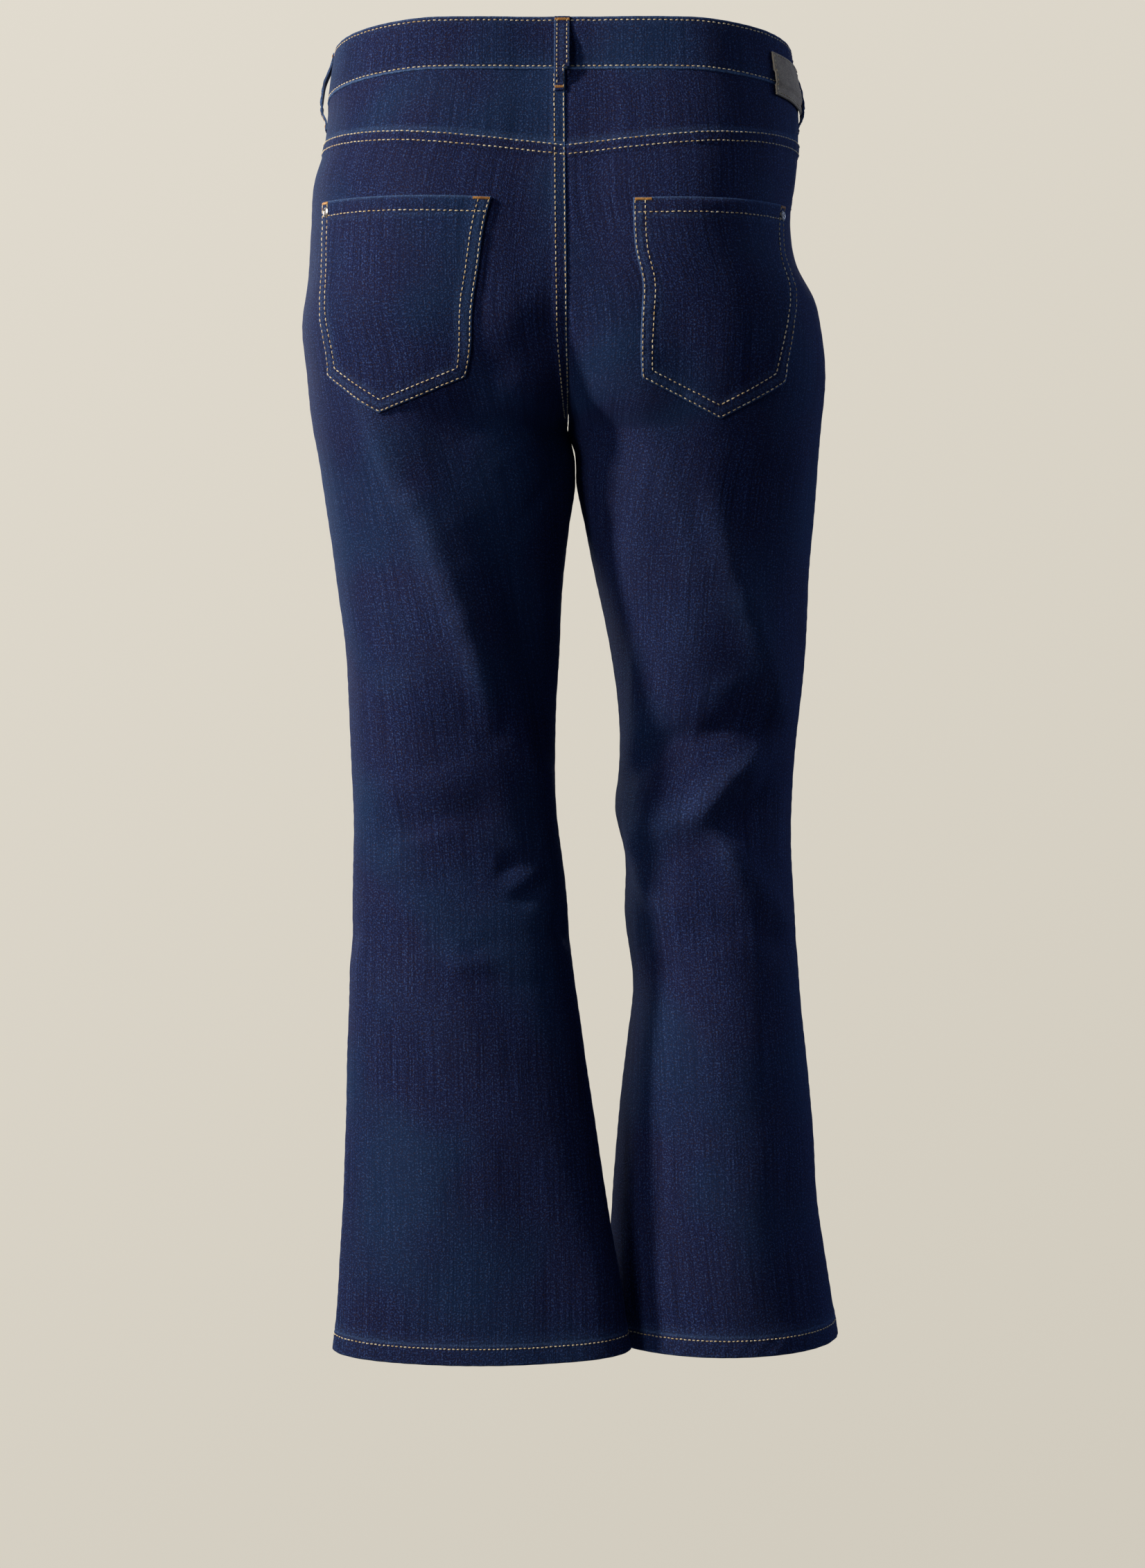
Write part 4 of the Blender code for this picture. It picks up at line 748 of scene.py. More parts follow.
denim = twillCloth("indigoTwillDenim", denimLooks)
denimReverse = twillCloth("indigoTwillReverse", reverseLooks)
# each thread's second colour is a painted highlight
goldThread = threadMaterial("spunPolyesterThreadGold", "#c69c58", "#ffecc0")
amberThread = threadMaterial("spunPolyesterThreadAmber", "#a8661d", "#e2a24a")
taupeLeather = leatherMaterial()
buttonMetal = castMetal("platedBrassButton", "#9a8a78", "#5c4f42", 0.30, 0.0011)
rivetMetal = castMetal("platedBrassRivet", "#dcd5cb", "#8d8378", 0.42, 0.0009)
zipMetal = castMetal("brassZipTeeth", "#b79a5e", "#6d5730", 0.34, 0.0008)
zipLooks = {**denimLooks, "warp": "#12172c", "pale": "#26304c", "twillPitch": 1.2}
zipCloth = twillCloth("wovenZipTape", zipLooks)
print("materials made")


def meshPiece(name, points, faceSets, finishes, finishIndex=None, place=None, fade=None, sharp=50):
    # Faces come as one array for each number of corners; place is the UV of each point, in metres of cloth.
    corners = np.concatenate([f.reshape(-1) for f in faceSets]).astype(np.int32)
    totals = np.concatenate([np.full(len(f), f.shape[1]) for f in faceSets])
    starts = np.concatenate([[0], np.cumsum(totals)[:-1]]).astype(np.int32)
    mesh = bpy.data.meshes.new(name)
    mesh.vertices.add(len(points))
    mesh.vertices.foreach_set("co", np.asarray(points, np.float32).ravel())
    mesh.loops.add(len(corners))
    mesh.loops.foreach_set("vertex_index", corners)
    mesh.polygons.add(len(totals))
    mesh.polygons.foreach_set("loop_start", starts)
    mesh.update(calc_edges=True)
    if place is not None:
        layer = mesh.uv_layers.new(name="cloth")
        layer.data.foreach_set("uv", place[corners].astype(np.float32).ravel())
    if fade is not None:
        layer = mesh.attributes.new("fade", "FLOAT", "POINT")
        layer.data.foreach_set("value", np.clip(fade, 0, 1).astype(np.float32).ravel())
    for finish in finishes:
        mesh.materials.append(finish)
    if finishIndex is not None:
        mesh.polygons.foreach_set("material_index", finishIndex.astype(np.int32))
    mesh.shade_smooth()
    mesh.set_sharp_from_angle(angle=math.radians(sharp))
    mesh.validate()
    piece = bpy.data.objects.new(name, mesh)
    bpy.context.scene.collection.objects.link(piece)
    return piece


def clothWall(name, face, back, place, fade, finishes, hole=None):
    # A closed wall between two grids of points; hole is a (row slice, column slice) of cells left open.
    rows, columns = face.shape[:2]
    number = np.arange(rows * columns).reshape(rows, columns)
    cells = np.stack([number[:-1, :-1], number[:-1, 1:], number[1:, 1:], number[1:, :-1]], axis=-1)
    kept = np.ones(cells.shape[:2], bool)
    if hole:
        kept[hole] = False
    cells = cells[kept]
    under = rows * columns
    points = np.concatenate([face.reshape(-1, 3), back.reshape(-1, 3)])
    facing = np.cross(points[cells[:, 2]] - points[cells[:, 0]], points[cells[:, 3]] - points[cells[:, 1]])
    if (facing * (points[cells[:, 0]] - points[cells[:, 0] + under])).sum() < 0:
        cells = cells[:, ::-1]
    edges = np.concatenate([cells[:, [k, (k + 1) % 4]] for k in range(4)])
    keys, backKeys = edges[:, 0] * under + edges[:, 1], edges[:, 1] * under + edges[:, 0]
    border = edges[~np.isin(backKeys, keys)]
    rim = np.stack([border[:, 1], border[:, 0], border[:, 0] + under, border[:, 1] + under], axis=1)
    faces = np.concatenate([cells, cells[:, ::-1] + under, rim])
    index = np.concatenate([np.zeros(len(cells)), np.ones(len(cells)), np.zeros(len(rim))])
    place, fade = np.tile(place.reshape(-1, 2), (2, 1)), np.tile(fade.reshape(-1), 2)
    return meshPiece(name, points, [faces], finishes, index, place, fade)


def clothPiece(node, face, back, place, fade, finishes=None, hole=None, ending="cloth"):
    # A wall of cloth that takes the place of a node.
    piece = clothWall(f"{node}_{ending}", face, back, place, fade, finishes or [denim, denimReverse], hole)
    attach(piece, "root")
    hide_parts(node)


def reach(points, axis):
    # Distances along a grid's rows or columns, from their first point.
    steps = np.linalg.norm(np.diff(points, axis=axis), axis=2)
    zero = np.zeros_like(np.take(steps, [0], axis=axis))
    return np.concatenate([zero, np.cumsum(steps, axis=axis)], axis=axis)


def stations(length, step, startStops, endStops):
    # Shares of a length: close stops at its two ends and even steps between them.
    first, last = np.array(startStops), length - np.array(endStops)[::-1]
    count = max(2, round((last[0] - first[-1]) / step))
    return np.concatenate([first, np.linspace(first[-1], last[0], count + 1)[1:-1], last]) / length


def rounding(distance, radius):
    # A quarter circle's fall, 1 at the edge and 0 from one radius in.
    return 1 - np.sqrt(1 - (1 - np.clip(distance / radius, 0, 1)) ** 2)


def pucker(run, distance, size):
    # Cloth drawn up along a stitched seam: waves of uneven length that die away from it.
    wave = np.sin(2 * math.pi * run / 0.0135 + 1.7 * np.sin(2 * math.pi * run / 0.047))
    return size * wave * bell(distance - 0.004, 0.007)


seams = {
    "band": 0.0094,  # width of a felled seam
    "height": 0.0009,  # its extra layers
    "lap": 0.0013,  # how far its folded edge lies over the neighbour
    "rows": (0.0013, 0.0082),  # its two rows of topstitching, from the folded edge
    "edgeRadius": 0.0009,
    "edgeDrop": 0.0013,  # how far the folded edge rounds down
    "plainDrop": 0.0012,  # how deep the two edges of a plain seam turn in
    "hemRow": 0.0130,  # the hem's single row, above the bottom edge
    "hemHeight": 0.0007,
    "hemTurn": 0.0150,  # how high the cloth is turned up inside
    "wall": 0.0012,
    "hemWall": 0.0026,
    "step": 0.0032,  # of the panels' grids
    "ridge": 0.007,  # m, a ridge as high as this is paled by a panel's ridgeFade
}
felledStops = (0, 0.0005, 0.0013, 0.0024, 0.0045, 0.0068, 0.0082, 0.0093, 0.0108, 0.0130)
plainStops = (0, 0.0007, 0.0018, 0.0035, 0.0058)
hemStops = (0, 0.0006, 0.0014, 0.0035, 0.0060, 0.0090, 0.0115, 0.0130, 0.0142, 0.0155, 0.0170, 0.0190, 0.0215)


def fromFold(distance):
    # The true distance from a folded edge that was pushed out by the lap.
    return distance + seams["lap"] * np.clip(distance / 0.004, 0, 1)


def felledBand(distance):
    pinch = sum(bell(distance - row, 0.0007) for row in seams["rows"])
    return seams["height"] * (1 - smooth((distance - seams["band"]) / 0.0016)) - 0.00022 * pinch


def plainSeam(distance, run):
    turned = -seams["plainDrop"] * rounding(distance, 0.0020)
    return turned + 0.00030 * bell(distance - 0.006, 0.004) + pucker(run, distance, 0.00012)


def hemFold(distance, run):
    turned = 1 - smooth((distance - 0.0135) / 0.0022)
    rope = np.sin(2 * math.pi * (run + 0.8 * distance) / 0.0142 + 1.3 * np.sin(2 * math.pi * run / 0.061))
    rope = 0.00030 * rope * (1 - smooth((distance - 0.010) / 0.010))
    fold = seams["hemHeight"] * turned - 0.0010 * rounding(distance, 0.0012) + rope
    fold -= 0.00040 * bell(distance - seams["hemRow"], 0.0009)
    return fold + 0.00045 * bell(distance - 0.0185, 0.0030)


def hemFade(distance):
    above = 0.26 * bell(distance - 0.0158, 0.0012) + 0.05 * bell(distance - 0.019, 0.003)
    return above + 0.24 * bell(distance, 0.0010) + 0.02 * (distance < 0.0128)


def rubbedSeam(distance):
    # The paler line along a plain seam.
    return 0.20 * bell(distance - 0.002, 0.0013)


def rubbedFold(distance):
    # The nearly bare line along a felled seam's folded edge.
    return 0.80 * bell(distance - 0.0002, 0.0009)


def underFold(distance):
    # How far the right panel sinks beside the left one's folded edge.
    return 0.0007 * bell(distance, 0.003)


def aboveCrotch(levels):
    # 1 along the centre seam, 0 down the inseam.
    return 1 - smooth((levels - 0.90) / 0.08)


def legLevels():
    # The rows of a panel's grid below the crotch: even down to the hem, close there.
    return 1 + stations(shape["crotchZ"] - shape["hemZ"], seams["step"], (0,), hemStops)[1:]


def yokeLevel(round_):
    # The level of the seam under the yoke, from the outseam to the centre back.
    share = np.clip((round_ - 0.5) / 0.5, 0, 1)
    sideLevel = (shape["yokeSideZ"] - shape["waistSideZ"]) / (shape["crotchZ"] - shape["waistSideZ"])
    backLevel = (shape["yokeCentreZ"] - shape["waistBackZ"]) / (shape["crotchZ"] - shape["waistBackZ"])
    return sideLevel + (backLevel - sideLevel) * share


def pushed(points, row, beside, distance, reachOver):
    # Stretches a grid's last few millimetres so that its edge lies reachOver further out.
    way = unit(points[row] - points[beside])
    if isinstance(row, tuple):
        way = way[:, None]
    return points + way * (reachOver * np.clip(1 - distance / 0.004, 0, 1))[..., None]


def felled(points, band, edge, row, beside, distance, share):
    # The left panel's folded edge on the centre seam: pushed over the right one, thick and rounded down.
    points = pushed(points, row, beside, distance, seams["lap"] * share)
    band = np.maximum(band, felledBand(fromFold(distance)) * share)
    edge = np.maximum(edge, rounding(fromFold(distance), seams["edgeRadius"]) * share)
    return points, band, edge


def panel(side, levels, rounds):
    # Base points and normals of a piece of a side, and how far its points are from each of its four edges.
    points, normals = sideAt(side, levels, rounds)
    top, first = reach(points, 0), reach(points, 1)
    return points, normals, (top, top[-1:] - top, first, first[:, -1:] - first)


def panelPlace(side, levels, rounds, top):
    # UV in metres: across from the outseam, and down the cloth from the level of the crotch.
    reference = np.abs(levels - 1).argmin(0)
    down = top - top[reference, np.arange(levels.shape[1])]
    half = np.interp(levels, side["levels"], side["lengths"])
    return np.stack([(rounds - 0.5) * 2 * half * side["sign"], -down], axis=-1)


def panelWall(node, points, normals, relief, thick, place, fade):
    face = points + normals * relief[..., None]
    back = points + normals * (np.minimum(relief, 0) - thick)[..., None]
    clothPiece(node, face, back, place, fade)


def legWall(node, side, levels, rounds, points, normals, edges, relief, fade, cloth):
    # A leg panel's wall: turned up at the hem, thick there, and paler along its ridges.
    top, bottom, first, _ = edges
    relief = relief + hemFold(bottom, first)
    ridges = np.clip(readField(side["heights"], levels, rounds)[..., 0] / seams["ridge"], 0, 1)
    thick = seams["wall"] + (seams["hemWall"] - seams["wall"]) * (bottom < seams["hemTurn"])
    place = panelPlace(side, levels, rounds, top)
    panelWall(node, points, normals, relief, thick, place, fade + cloth["ridgeFade"] * ridges)


backCloth = {"flat": (0.330, 0.960), "area": 0.245, "ridgeFade": 0.05}


def backPanel(side):
    rounds = 0.5 + 0.5 * stations(0.270, seams["step"], plainStops, felledStops)
    hipShare = stations(0.235, seams["step"], felledStops, (0,))[:, None]
    hip = yokeLevel(rounds)[None, :] * (1 - hipShare) + hipShare
    levels = np.concatenate([hip, np.tile(legLevels()[:, None], (1, len(rounds)))])
    rounds = np.tile(rounds, (len(levels), 1))
    points, normals, edges = panel(side, levels, rounds)
    top, bottom, first, last = edges
    seat = aboveCrotch(levels)
    points = pushed(points, np.s_[0], np.s_[1], top, seams["lap"])
    band = felledBand(fromFold(top))
    edge = rounding(fromFold(top), seams["edgeRadius"])
    fade = hemFade(bottom) + 0.55 * bell(top - 0.0002, 0.0007)
    fade += rubbedSeam(first) + rubbedSeam(last) * (1 - seat)
    if side["name"] == "left":
        points, band, edge = felled(points, band, edge, np.s_[:, -1], np.s_[:, -2], last, seat)
        fade += rubbedFold(last) * seat
    else:
        band = band - underFold(last) * seat
    relief = band - seams["edgeDrop"] * edge
    relief += plainSeam(first, top) + plainSeam(last, top) * (1 - seat)
    relief += pucker(first, top, 0.00020) + pucker(top, last, 0.00018) * seat
    legWall(f"back_{side['name']}", side, levels, rounds, points, normals, edges, relief, fade, backCloth)


def yoke(side):
    rounds = 0.5 + 0.5 * stations(0.245, seams["step"], plainStops, felledStops)
    share = stations(0.055, 0.0028, (0, 0.002), (0, 0.0012, 0.0030))[:, None]
    levels = yokeLevel(rounds)[None, :] * share
    rounds = np.tile(rounds, (len(levels), 1))
    points, normals, (top, bottom, first, last) = panel(side, levels, rounds)
    place = np.stack([(rounds - 0.5) * 2 * side["lengths"][0] * side["sign"], -top], axis=-1)
    relief = plainSeam(first, top) + pucker(first, bottom, 0.00018) + pucker(first + 0.006, top, 0.00018)
    fade = rubbedSeam(first) + 0.16 * bell(bottom - 0.0025, 0.0015)
    if side["name"] == "left":
        points = pushed(points, np.s_[:, -1], np.s_[:, -2], last, seams["lap"])
        relief += felledBand(fromFold(last))
        relief -= seams["edgeDrop"] * rounding(fromFold(last), seams["edgeRadius"])
        fade += rubbedFold(last)
    else:
        relief -= underFold(last)
    panelWall(f"yoke_{side['name']}", points, normals, relief, seams["wall"], place, fade)


mouth = {
    "width": 0.098,  # of the front pocket's opening, along the waistband seam
    "depth": 0.070,  # and down the outseam
    "margin": 0.014,  # how far the facing goes beyond it
    "rows": (0.0015, 0.0080),
    "facingDepth": 0.0023,  # the facing's face behind the front's
    "tuck": 0.0035,  # how far the facing goes up behind the waistband
}


def mouthCurve(side, angle, outside=0.0):
    # A quarter ellipse from the waistband seam to the outseam, or one that lies this far outside it.
    width, depth = mouth["width"] + outside, mouth["depth"] + outside
    return depth / hipHeight * np.sin(angle), 0.5 - 0.5 * width / side["lengths"][0] * np.cos(angle)


def distanceTo(line, points):
    # Each point's distance to the nearest sample of a line.
    parts = np.array_split(points.reshape(-1, 3), 40)
    nearest = [np.linalg.norm(part[:, None] - line[None], axis=2).min(1) for part in parts]
    return np.concatenate(nearest).reshape(points.shape[:2])


frontCloth = {"flat": (0.290, 0.990), "area": 0.225, "ridgeFade": 0.05}


def frontPanel(side):
    # The columns follow the mouth's curve at the top and ease to even ones at the crotch.
    mouthLevel, mouthRound = mouthCurve(side, np.linspace(0, math.pi / 2, 44))
    plain = mouthRound[0] * stations(0.130, seams["step"], felledStops, (0,))[:-1]
    rounds = np.concatenate([plain, mouthRound])
    upper = np.concatenate([np.zeros(len(plain)), mouthLevel])
    even = 0.5 * stations(0.250, 0.250 / (len(rounds) - 18), felledStops, plainStops)
    even = np.interp(np.linspace(0, 1, len(rounds)), np.linspace(0, 1, len(even)), even)
    share = stations(0.240, seams["step"], plainStops, (0,))[:, None]
    hip = upper[None, :] * (1 - share) + share
    hipRounds = rounds[None, :] * (1 - share) + even[None, :] * share
    levels = np.concatenate([hip, np.tile(legLevels()[:, None], (1, len(rounds)))])
    rounds = np.concatenate([hipRounds, np.tile(even, (len(levels) - len(hip), 1))])
    points, normals, edges = panel(side, levels, rounds)
    top, bottom, first, last = edges
    mouthLine = sideAt(side, *mouthCurve(side, np.linspace(0, math.pi / 2, 160)))[0]
    toMouth = np.full(levels.shape, 1.0)
    toMouth[: len(hip)] = distanceTo(mouthLine, points[: len(hip)])
    fly = aboveCrotch(levels)
    belowMouth = smooth((top - 0.001) / 0.004)
    band = felledBand(toMouth) * 0.8
    edge = rounding(toMouth, seams["edgeRadius"])
    fade = hemFade(bottom) + 0.60 * bell(toMouth - 0.0003, 0.0009)
    fade += rubbedSeam(last) * belowMouth + rubbedSeam(first) * (1 - fly)
    if side["name"] == "left":
        points, band, edge = felled(points, band, edge, np.s_[:, 0], np.s_[:, 1], first, fly)
        fade += 0.70 * bell(first, 0.0009) * fly
    else:
        band = band - underFold(first) * fly
    relief = band - seams["edgeDrop"] * edge
    relief += plainSeam(last, top) * belowMouth + plainSeam(first, top) * (1 - fly)
    relief += pucker(last, toMouth, 0.00018) + pucker(top, first, 0.00018) * fly
    legWall(f"front_{side['name']}", side, levels, rounds, points, normals, edges, relief, fade, frontCloth)


def pocketFacing(side):
    # The cloth that shows in the mouth of the front pocket, behind the front.
    depth, start = mouthCurve(side, np.array([math.pi / 2, 0]), mouth["margin"])
    levels, rounds = np.linspace(0, depth[0], 34), np.linspace(start[1], 0.5, 44)
    levels, rounds = np.meshgrid(levels, rounds, indexing="ij")
    points, normals, (top, _, first, last) = panel(side, levels, rounds)
    place = np.stack([first, -top], axis=-1)
    deep = mouth["facingDepth"] - 0.0016 * (1 - smooth(last / 0.006)) * (rounds > 0.4)
    fade = 0.10 * bell(last - 0.002, 0.0013)
    points = np.concatenate([points[:1] + [0, 0, mouth["tuck"]], points])
    place = np.concatenate([place[:1] + [0, mouth["tuck"]], place])
    deep = np.concatenate([np.full_like(deep[:1], mouth["facingDepth"]), deep])
    normals, fade = (np.concatenate([part[:1], part]) for part in (normals, fade))
    node = f"front_pocket_facing_{side['name']}"
    panelWall(node, points, normals, -deep, seams["wall"], place, fade)


for side in sides.values():
    backPanel(side)
    yoke(side)
    frontPanel(side)
    pocketFacing(side)
print("panels, yokes and facings made")


def waistbandPiece():
    # One strip: its buttonhole end over the fly, round the back, and its button end under the fly.
    height, holeEnd = waistband["height"], waistband["holeStart"] + waistband["hole"][0]
    end, start = girth + waistband["underEnd"], -waistband["flyEnd"]
    first = start + np.array([0, 0.0004, 0.0010, 0.0020, 0.0036])
    inHole = np.linspace(waistband["holeStart"], holeEnd, 8)
    around = np.linspace(holeEnd, end - 0.004, round((end - holeEnd) / waistband["step"]))[1:]
    run = np.concatenate([first, [0.0009], inHole, around, end - np.array([0.0020, 0.0010, 0.0004, 0])])
    holeTop = (height - waistband["hole"][1]) / 2
    above = (0, 0.0003, 0.0008, 0.0015, 0.0022, 0.0030, 0.0038, 0.0052, 0.0085, 0.0120, 0.0155)
    below = (0.0245, 0.0280, 0.0315, 0.0345, 0.0362, 0.0374, 0.0384, 0.0391, 0.0396, height)
    drop = np.concatenate([above, [holeTop, height / 2, height - holeTop], below])
    hole = (slice(len(above), len(above) + 2), slice(len(first) + 1, len(first) + len(inHole)))
    under = smooth((run - girth + waistband["overlapRun"]) / (waistband["overlapRun"] - 0.008))
    wrapped = np.where(run > halfWaist["left"], run - girth, run)
    runs, drops = np.meshgrid(wrapped, drop)
    long, _ = np.meshgrid(run, drop)
    points, normals = waistFace(runs, drops)
    ends = rounding(long - start, 0.0011) + rounding(end - long, 0.0011)
    relief = -0.0011 * rounding(drops, 0.0014) - 0.0010 * rounding(height - drops, 0.0010) - 0.0009 * ends
    for row in waistband["rows"]:
        relief -= 0.00034 * bell(drops - row, 0.0009)
        relief += pucker(long, np.abs(drops - row) + 0.002, 0.00014)
    relief += 0.00035 * np.sin(2 * math.pi * long / 0.083 + 0.6) * np.sin(math.pi * drops / height)
    fade = 0.34 * bell(drops - 0.0006, 0.0011) + 0.62 * bell(height - 0.0006 - drops, 0.0011)
    fade += 0.25 * bell(long - start, 0.0012)
    fade += 0.05 * bell(drops - 0.0045, 0.001) + 0.05 * bell(drops - 0.0352, 0.001)
    sunk = waistband["overlapDrop"] * under[None, :]
    outer = points + normals * (relief - sunk)[..., None]
    inner = points - normals * (waistband["wall"] + sunk[..., None])
    inner -= normals * (0.5 * np.minimum(relief, 0))[..., None]
    place = np.stack([long, -drops], axis=-1)
    clothPiece("waistband", outer, inner, place, fade, [denim, denim], hole)


def fixedTree(*pieces):
    graph = bpy.context.evaluated_depsgraph_get()
    return [BVHTree.FromObject(bpy.data.objects[name], graph) for name in pieces]


def settled(trees, points, normals, above=0.009, below=0.012):
    # Each point moved along its normal onto the highest of these pieces, with the normal found there.
    flat, ways = points.reshape(-1, 3).copy(), normals.reshape(-1, 3).copy()
    for i, (point, way) in enumerate(zip(flat, ways)):
        start, best = Vector(point + way * above), None
        for tree in trees:
            place, turned, _, far = tree.ray_cast(start, Vector(-way), above + below)
            if place is not None and (best is None or far < best[0]):
                best = (far, place, turned)
        if best is not None:
            flat[i], found = best[1], np.array(best[2])
            ways[i] = unit(found * np.sign(found @ way) + way)
    return flat.reshape(points.shape), ways.reshape(normals.shape)


loops = {  # how far round the waistband the middle of each one is
    "back": halfWaist["left"] - 0.0012,
    "side_left": 0.500 * halfWaist["left"],
    "side_right": -0.475 * halfWaist["right"],
    "front_left": 0.098,
    "front_right": -0.098,
}
loopShape = {
    "width": 0.011,
    "length": 0.059,
    "thick": 0.0016,
    "arch": 0.0042,
    "tacked": 0.005,  # how far its ends lie flat
    "rise": 0.022,  # of the arch, below its top end
    "fall": 0.010,
    "row": 0.0021,  # its stitches, inside its edge
}


def beltLoop(name, run, trees):
    # A strip folded in three, bar-tacked flat at both ends and arched between them.
    width, length, end = loopShape["width"], loopShape["length"], loopShape["length"] - loopShape["tacked"]
    drops = np.linspace(0.0026, length - 0.0014, 52)
    drops = np.concatenate([[0.0004, 0.0009, 0.0016], drops, [length - 0.0006, length]])
    half = np.array([0.18, 0.31, 0.37, 0.43, 0.475, 0.5])
    across = np.concatenate([-half[::-1], [0], half]) * width
    share = np.minimum((drops - loopShape["tacked"]) / loopShape["rise"], (end - drops) / loopShape["fall"])
    arch = loopShape["arch"] * smooth(share)
    ahead, allDrops = np.meshgrid(across, drops)
    points, normals = waistFace(run + ahead, allDrops)
    normals = np.repeat(normals[:, 6:7], len(across), axis=1)
    resting, _ = settled(trees, points[:, ::3], normals[:, ::3])
    height = ((resting - points[:, ::3]) * normals[:, ::3]).sum(-1).max(1)
    height = np.convolve(np.pad(height, 2, "edge"), np.ones(5) / 5, "valid")
    inner = points + normals * (height + 0.0002 + arch)[:, None, None]
    side = width / 2 - np.abs(ahead)
    relief = loopShape["thick"] - 0.0006 * rounding(side, 0.0010)
    relief -= 0.00030 * bell(side - loopShape["row"], 0.0007)
    relief -= 0.0005 * rounding(allDrops, 0.0016) + 0.0005 * rounding(length - allDrops, 0.0012)
    ripple = 0.00018 * np.sin(2 * math.pi * allDrops / 0.0075 + 9 * run)
    relief += ripple * (arch / loopShape["arch"])[:, None]
    relief -= 0.0004 * (bell(drops - 0.0028, 0.0016) + bell(length - 0.0032 - drops, 0.0016))[:, None]
    fade = 0.42 * bell(side, 0.0009) + 0.30 * bell(allDrops, 0.001)
    fade += 0.12 * bell(ahead, 0.0018) * (share > 0)[:, None]
    outer = inner + normals * relief[..., None]
    place = np.stack([ahead + 3 * run, -allDrops], axis=-1)
    clothPiece(f"belt_loop_{name}", outer, inner, place, fade, [denim, denim])


patchShape = {
    "size": (0.058, 0.033),
    "start": loops["side_right"] - 0.0195,  # its near edge, behind the right side loop
    "drop": 0.0155,  # its top edge below the waistband's
    "thick": 0.0015,
    "row": 0.0019,  # its stitches, inside its edge
}


def leatherPatch():
    # Bare leather, stitched down along its edges and lying slightly proud between its stitches.
    width, length = patchShape["size"]
    stops = (0, 0.0004, 0.0010)
    along, down = (size * stations(size, 0.0016, stops, stops) for size in patchShape["size"])
    back, depth = np.meshgrid(along, down)
    points, normals = waistFace(patchShape["start"] - back, patchShape["drop"] + depth)
    normals = np.repeat(normals[:1], len(normals), axis=0)
    resting, _ = settled(fixedTree("waistband_cloth", "yoke_right_cloth"), points, normals)
    lift = ((resting - points) * normals).sum(-1)
    overSeam = np.maximum(lift, 0.0011 - 0.04 * (depth - 0.031).clip(0))
    lift = np.where(patchShape["drop"] + depth > 0.030, overSeam, lift)
    lift = lift.max(1, keepdims=True) * 0.6 + lift * 0.4
    edge = np.minimum.reduce([back, width - back, depth, length - depth])
    inner = points + normals * (lift + 0.0002)[..., None]
    relief = patchShape["thick"] - 0.0007 * rounding(edge, 0.0010)
    relief -= 0.00045 * bell(edge - patchShape["row"], 0.0008)
    swell = 0.00035 * np.sin(math.pi * back / width) * np.sin(math.pi * depth / length)
    relief += swell + 0.00022 * np.sin(back * 210 + depth * 90) * np.sin(depth * 170)
    fade = 0.55 * bell(edge, 0.0006) + 0.10
    outer, place = inner + normals * relief[..., None], np.stack([back, -depth], axis=-1)
    cloth, finishes = {"flat": patchShape["size"], "area": width * length}, [taupeLeather, taupeLeather]
    clothPiece("leather_patch", outer, inner, place, fade, finishes, ending="hide")


# The back pockets' corners: distance behind the outseam, and height, the inner corner first. The bow is how
# far the cloth carries each side edge inwards, two thirds or three quarters of the way down.
pockets = {
    "left": {
        "top": ((0.2142, -0.1065), (0.0660, -0.1035)),
        "bottom": ((0.1920, -0.2370), (0.0760, -0.2330)),
        "tip": (0.1210, -0.2630),
        "bow": (0.0084, 0.0055),
    },
    "right": {
        "top": ((0.1980, -0.1070), (0.0560, -0.1050)),
        "bottom": ((0.2120, -0.2380), (0.0980, -0.2390)),
        "tip": (0.1460, -0.2670),
        "bow": (0.0073, 0.0060),
    },
}
pocketShape = {
    "lift": 0.0010,  # the cloth of the pocket over the cloth of the panel
    "thick": 0.0013,
    "mouthHem": 0.0125,
    "gape": 0.0016,  # how far its mouth stands off in the middle
    "rows": (0.0015, 0.0090),
    "mouthRow": 0.0112,
    "flat": (0.144, 0.162),
    "area": 0.0212,
}


def tipShare(corners):
    # How far across the pocket its pointed end lies, from the inner corner.
    (inner, outer), tip = corners["bottom"], corners["tip"]
    return (tip[0] - inner[0]) / (outer[0] - inner[0])


def pocketOutline(corners):
    # From the inner top corner down and round the tip to the outer top corner.
    (innerTop, outerTop), (innerLow, outerLow) = corners["top"], corners["bottom"]
    return np.array([innerTop, innerLow, corners["tip"], outerLow, outerTop])


def pocketPlane(corners, across, down):
    # Distance behind the outseam and height, at these shares across and down the pocket.
    (innerTop, outerTop), (innerLow, outerLow) = np.array(corners["top"]), np.array(corners["bottom"])
    top = innerTop + (outerTop - innerTop) * across[..., None]
    low = innerLow + (outerLow - innerLow) * across[..., None]
    middle = tipShare(corners)
    pointDown = np.minimum(across / middle, (1 - across) / (1 - middle))
    lowZ = low[..., 1] + (corners["tip"][1] - (innerLow[1] + outerLow[1]) / 2) * pointDown
    return top[..., 0] * (1 - down) + low[..., 0] * down, top[..., 1] * (1 - down) + lowZ * down


def pocketBow(corners, across, down):
    # How far a point of the pocket's plane is carried sideways, most at its side edges.
    innerBow, outerBow = corners["bow"]
    inner, outer = down**2 * (1 - down) * 27 / 4, down**3 * (1 - down) * 256 / 27
    return innerBow * inner * (1 - across) + outerBow * outer * across


def pocketShares(corners, distance, z):
    # pocketPlane turned round: the shares across and down that give these distances and heights.
    across, down = np.full(distance.shape, 0.5), np.full(distance.shape, 0.5)
    zero, one = np.zeros_like(across), np.ones_like(across)
    for _ in range(12):
        inner, outer = (pocketPlane(corners, edge, down)[0] for edge in (zero, one))
        across = np.clip((distance - inner) / (outer - inner), 0, 1)
        high, low = (pocketPlane(corners, across, edge)[1] for edge in (zero, one))
        down = np.clip((z - high) / (low - high), 0, 1)
    return across, down


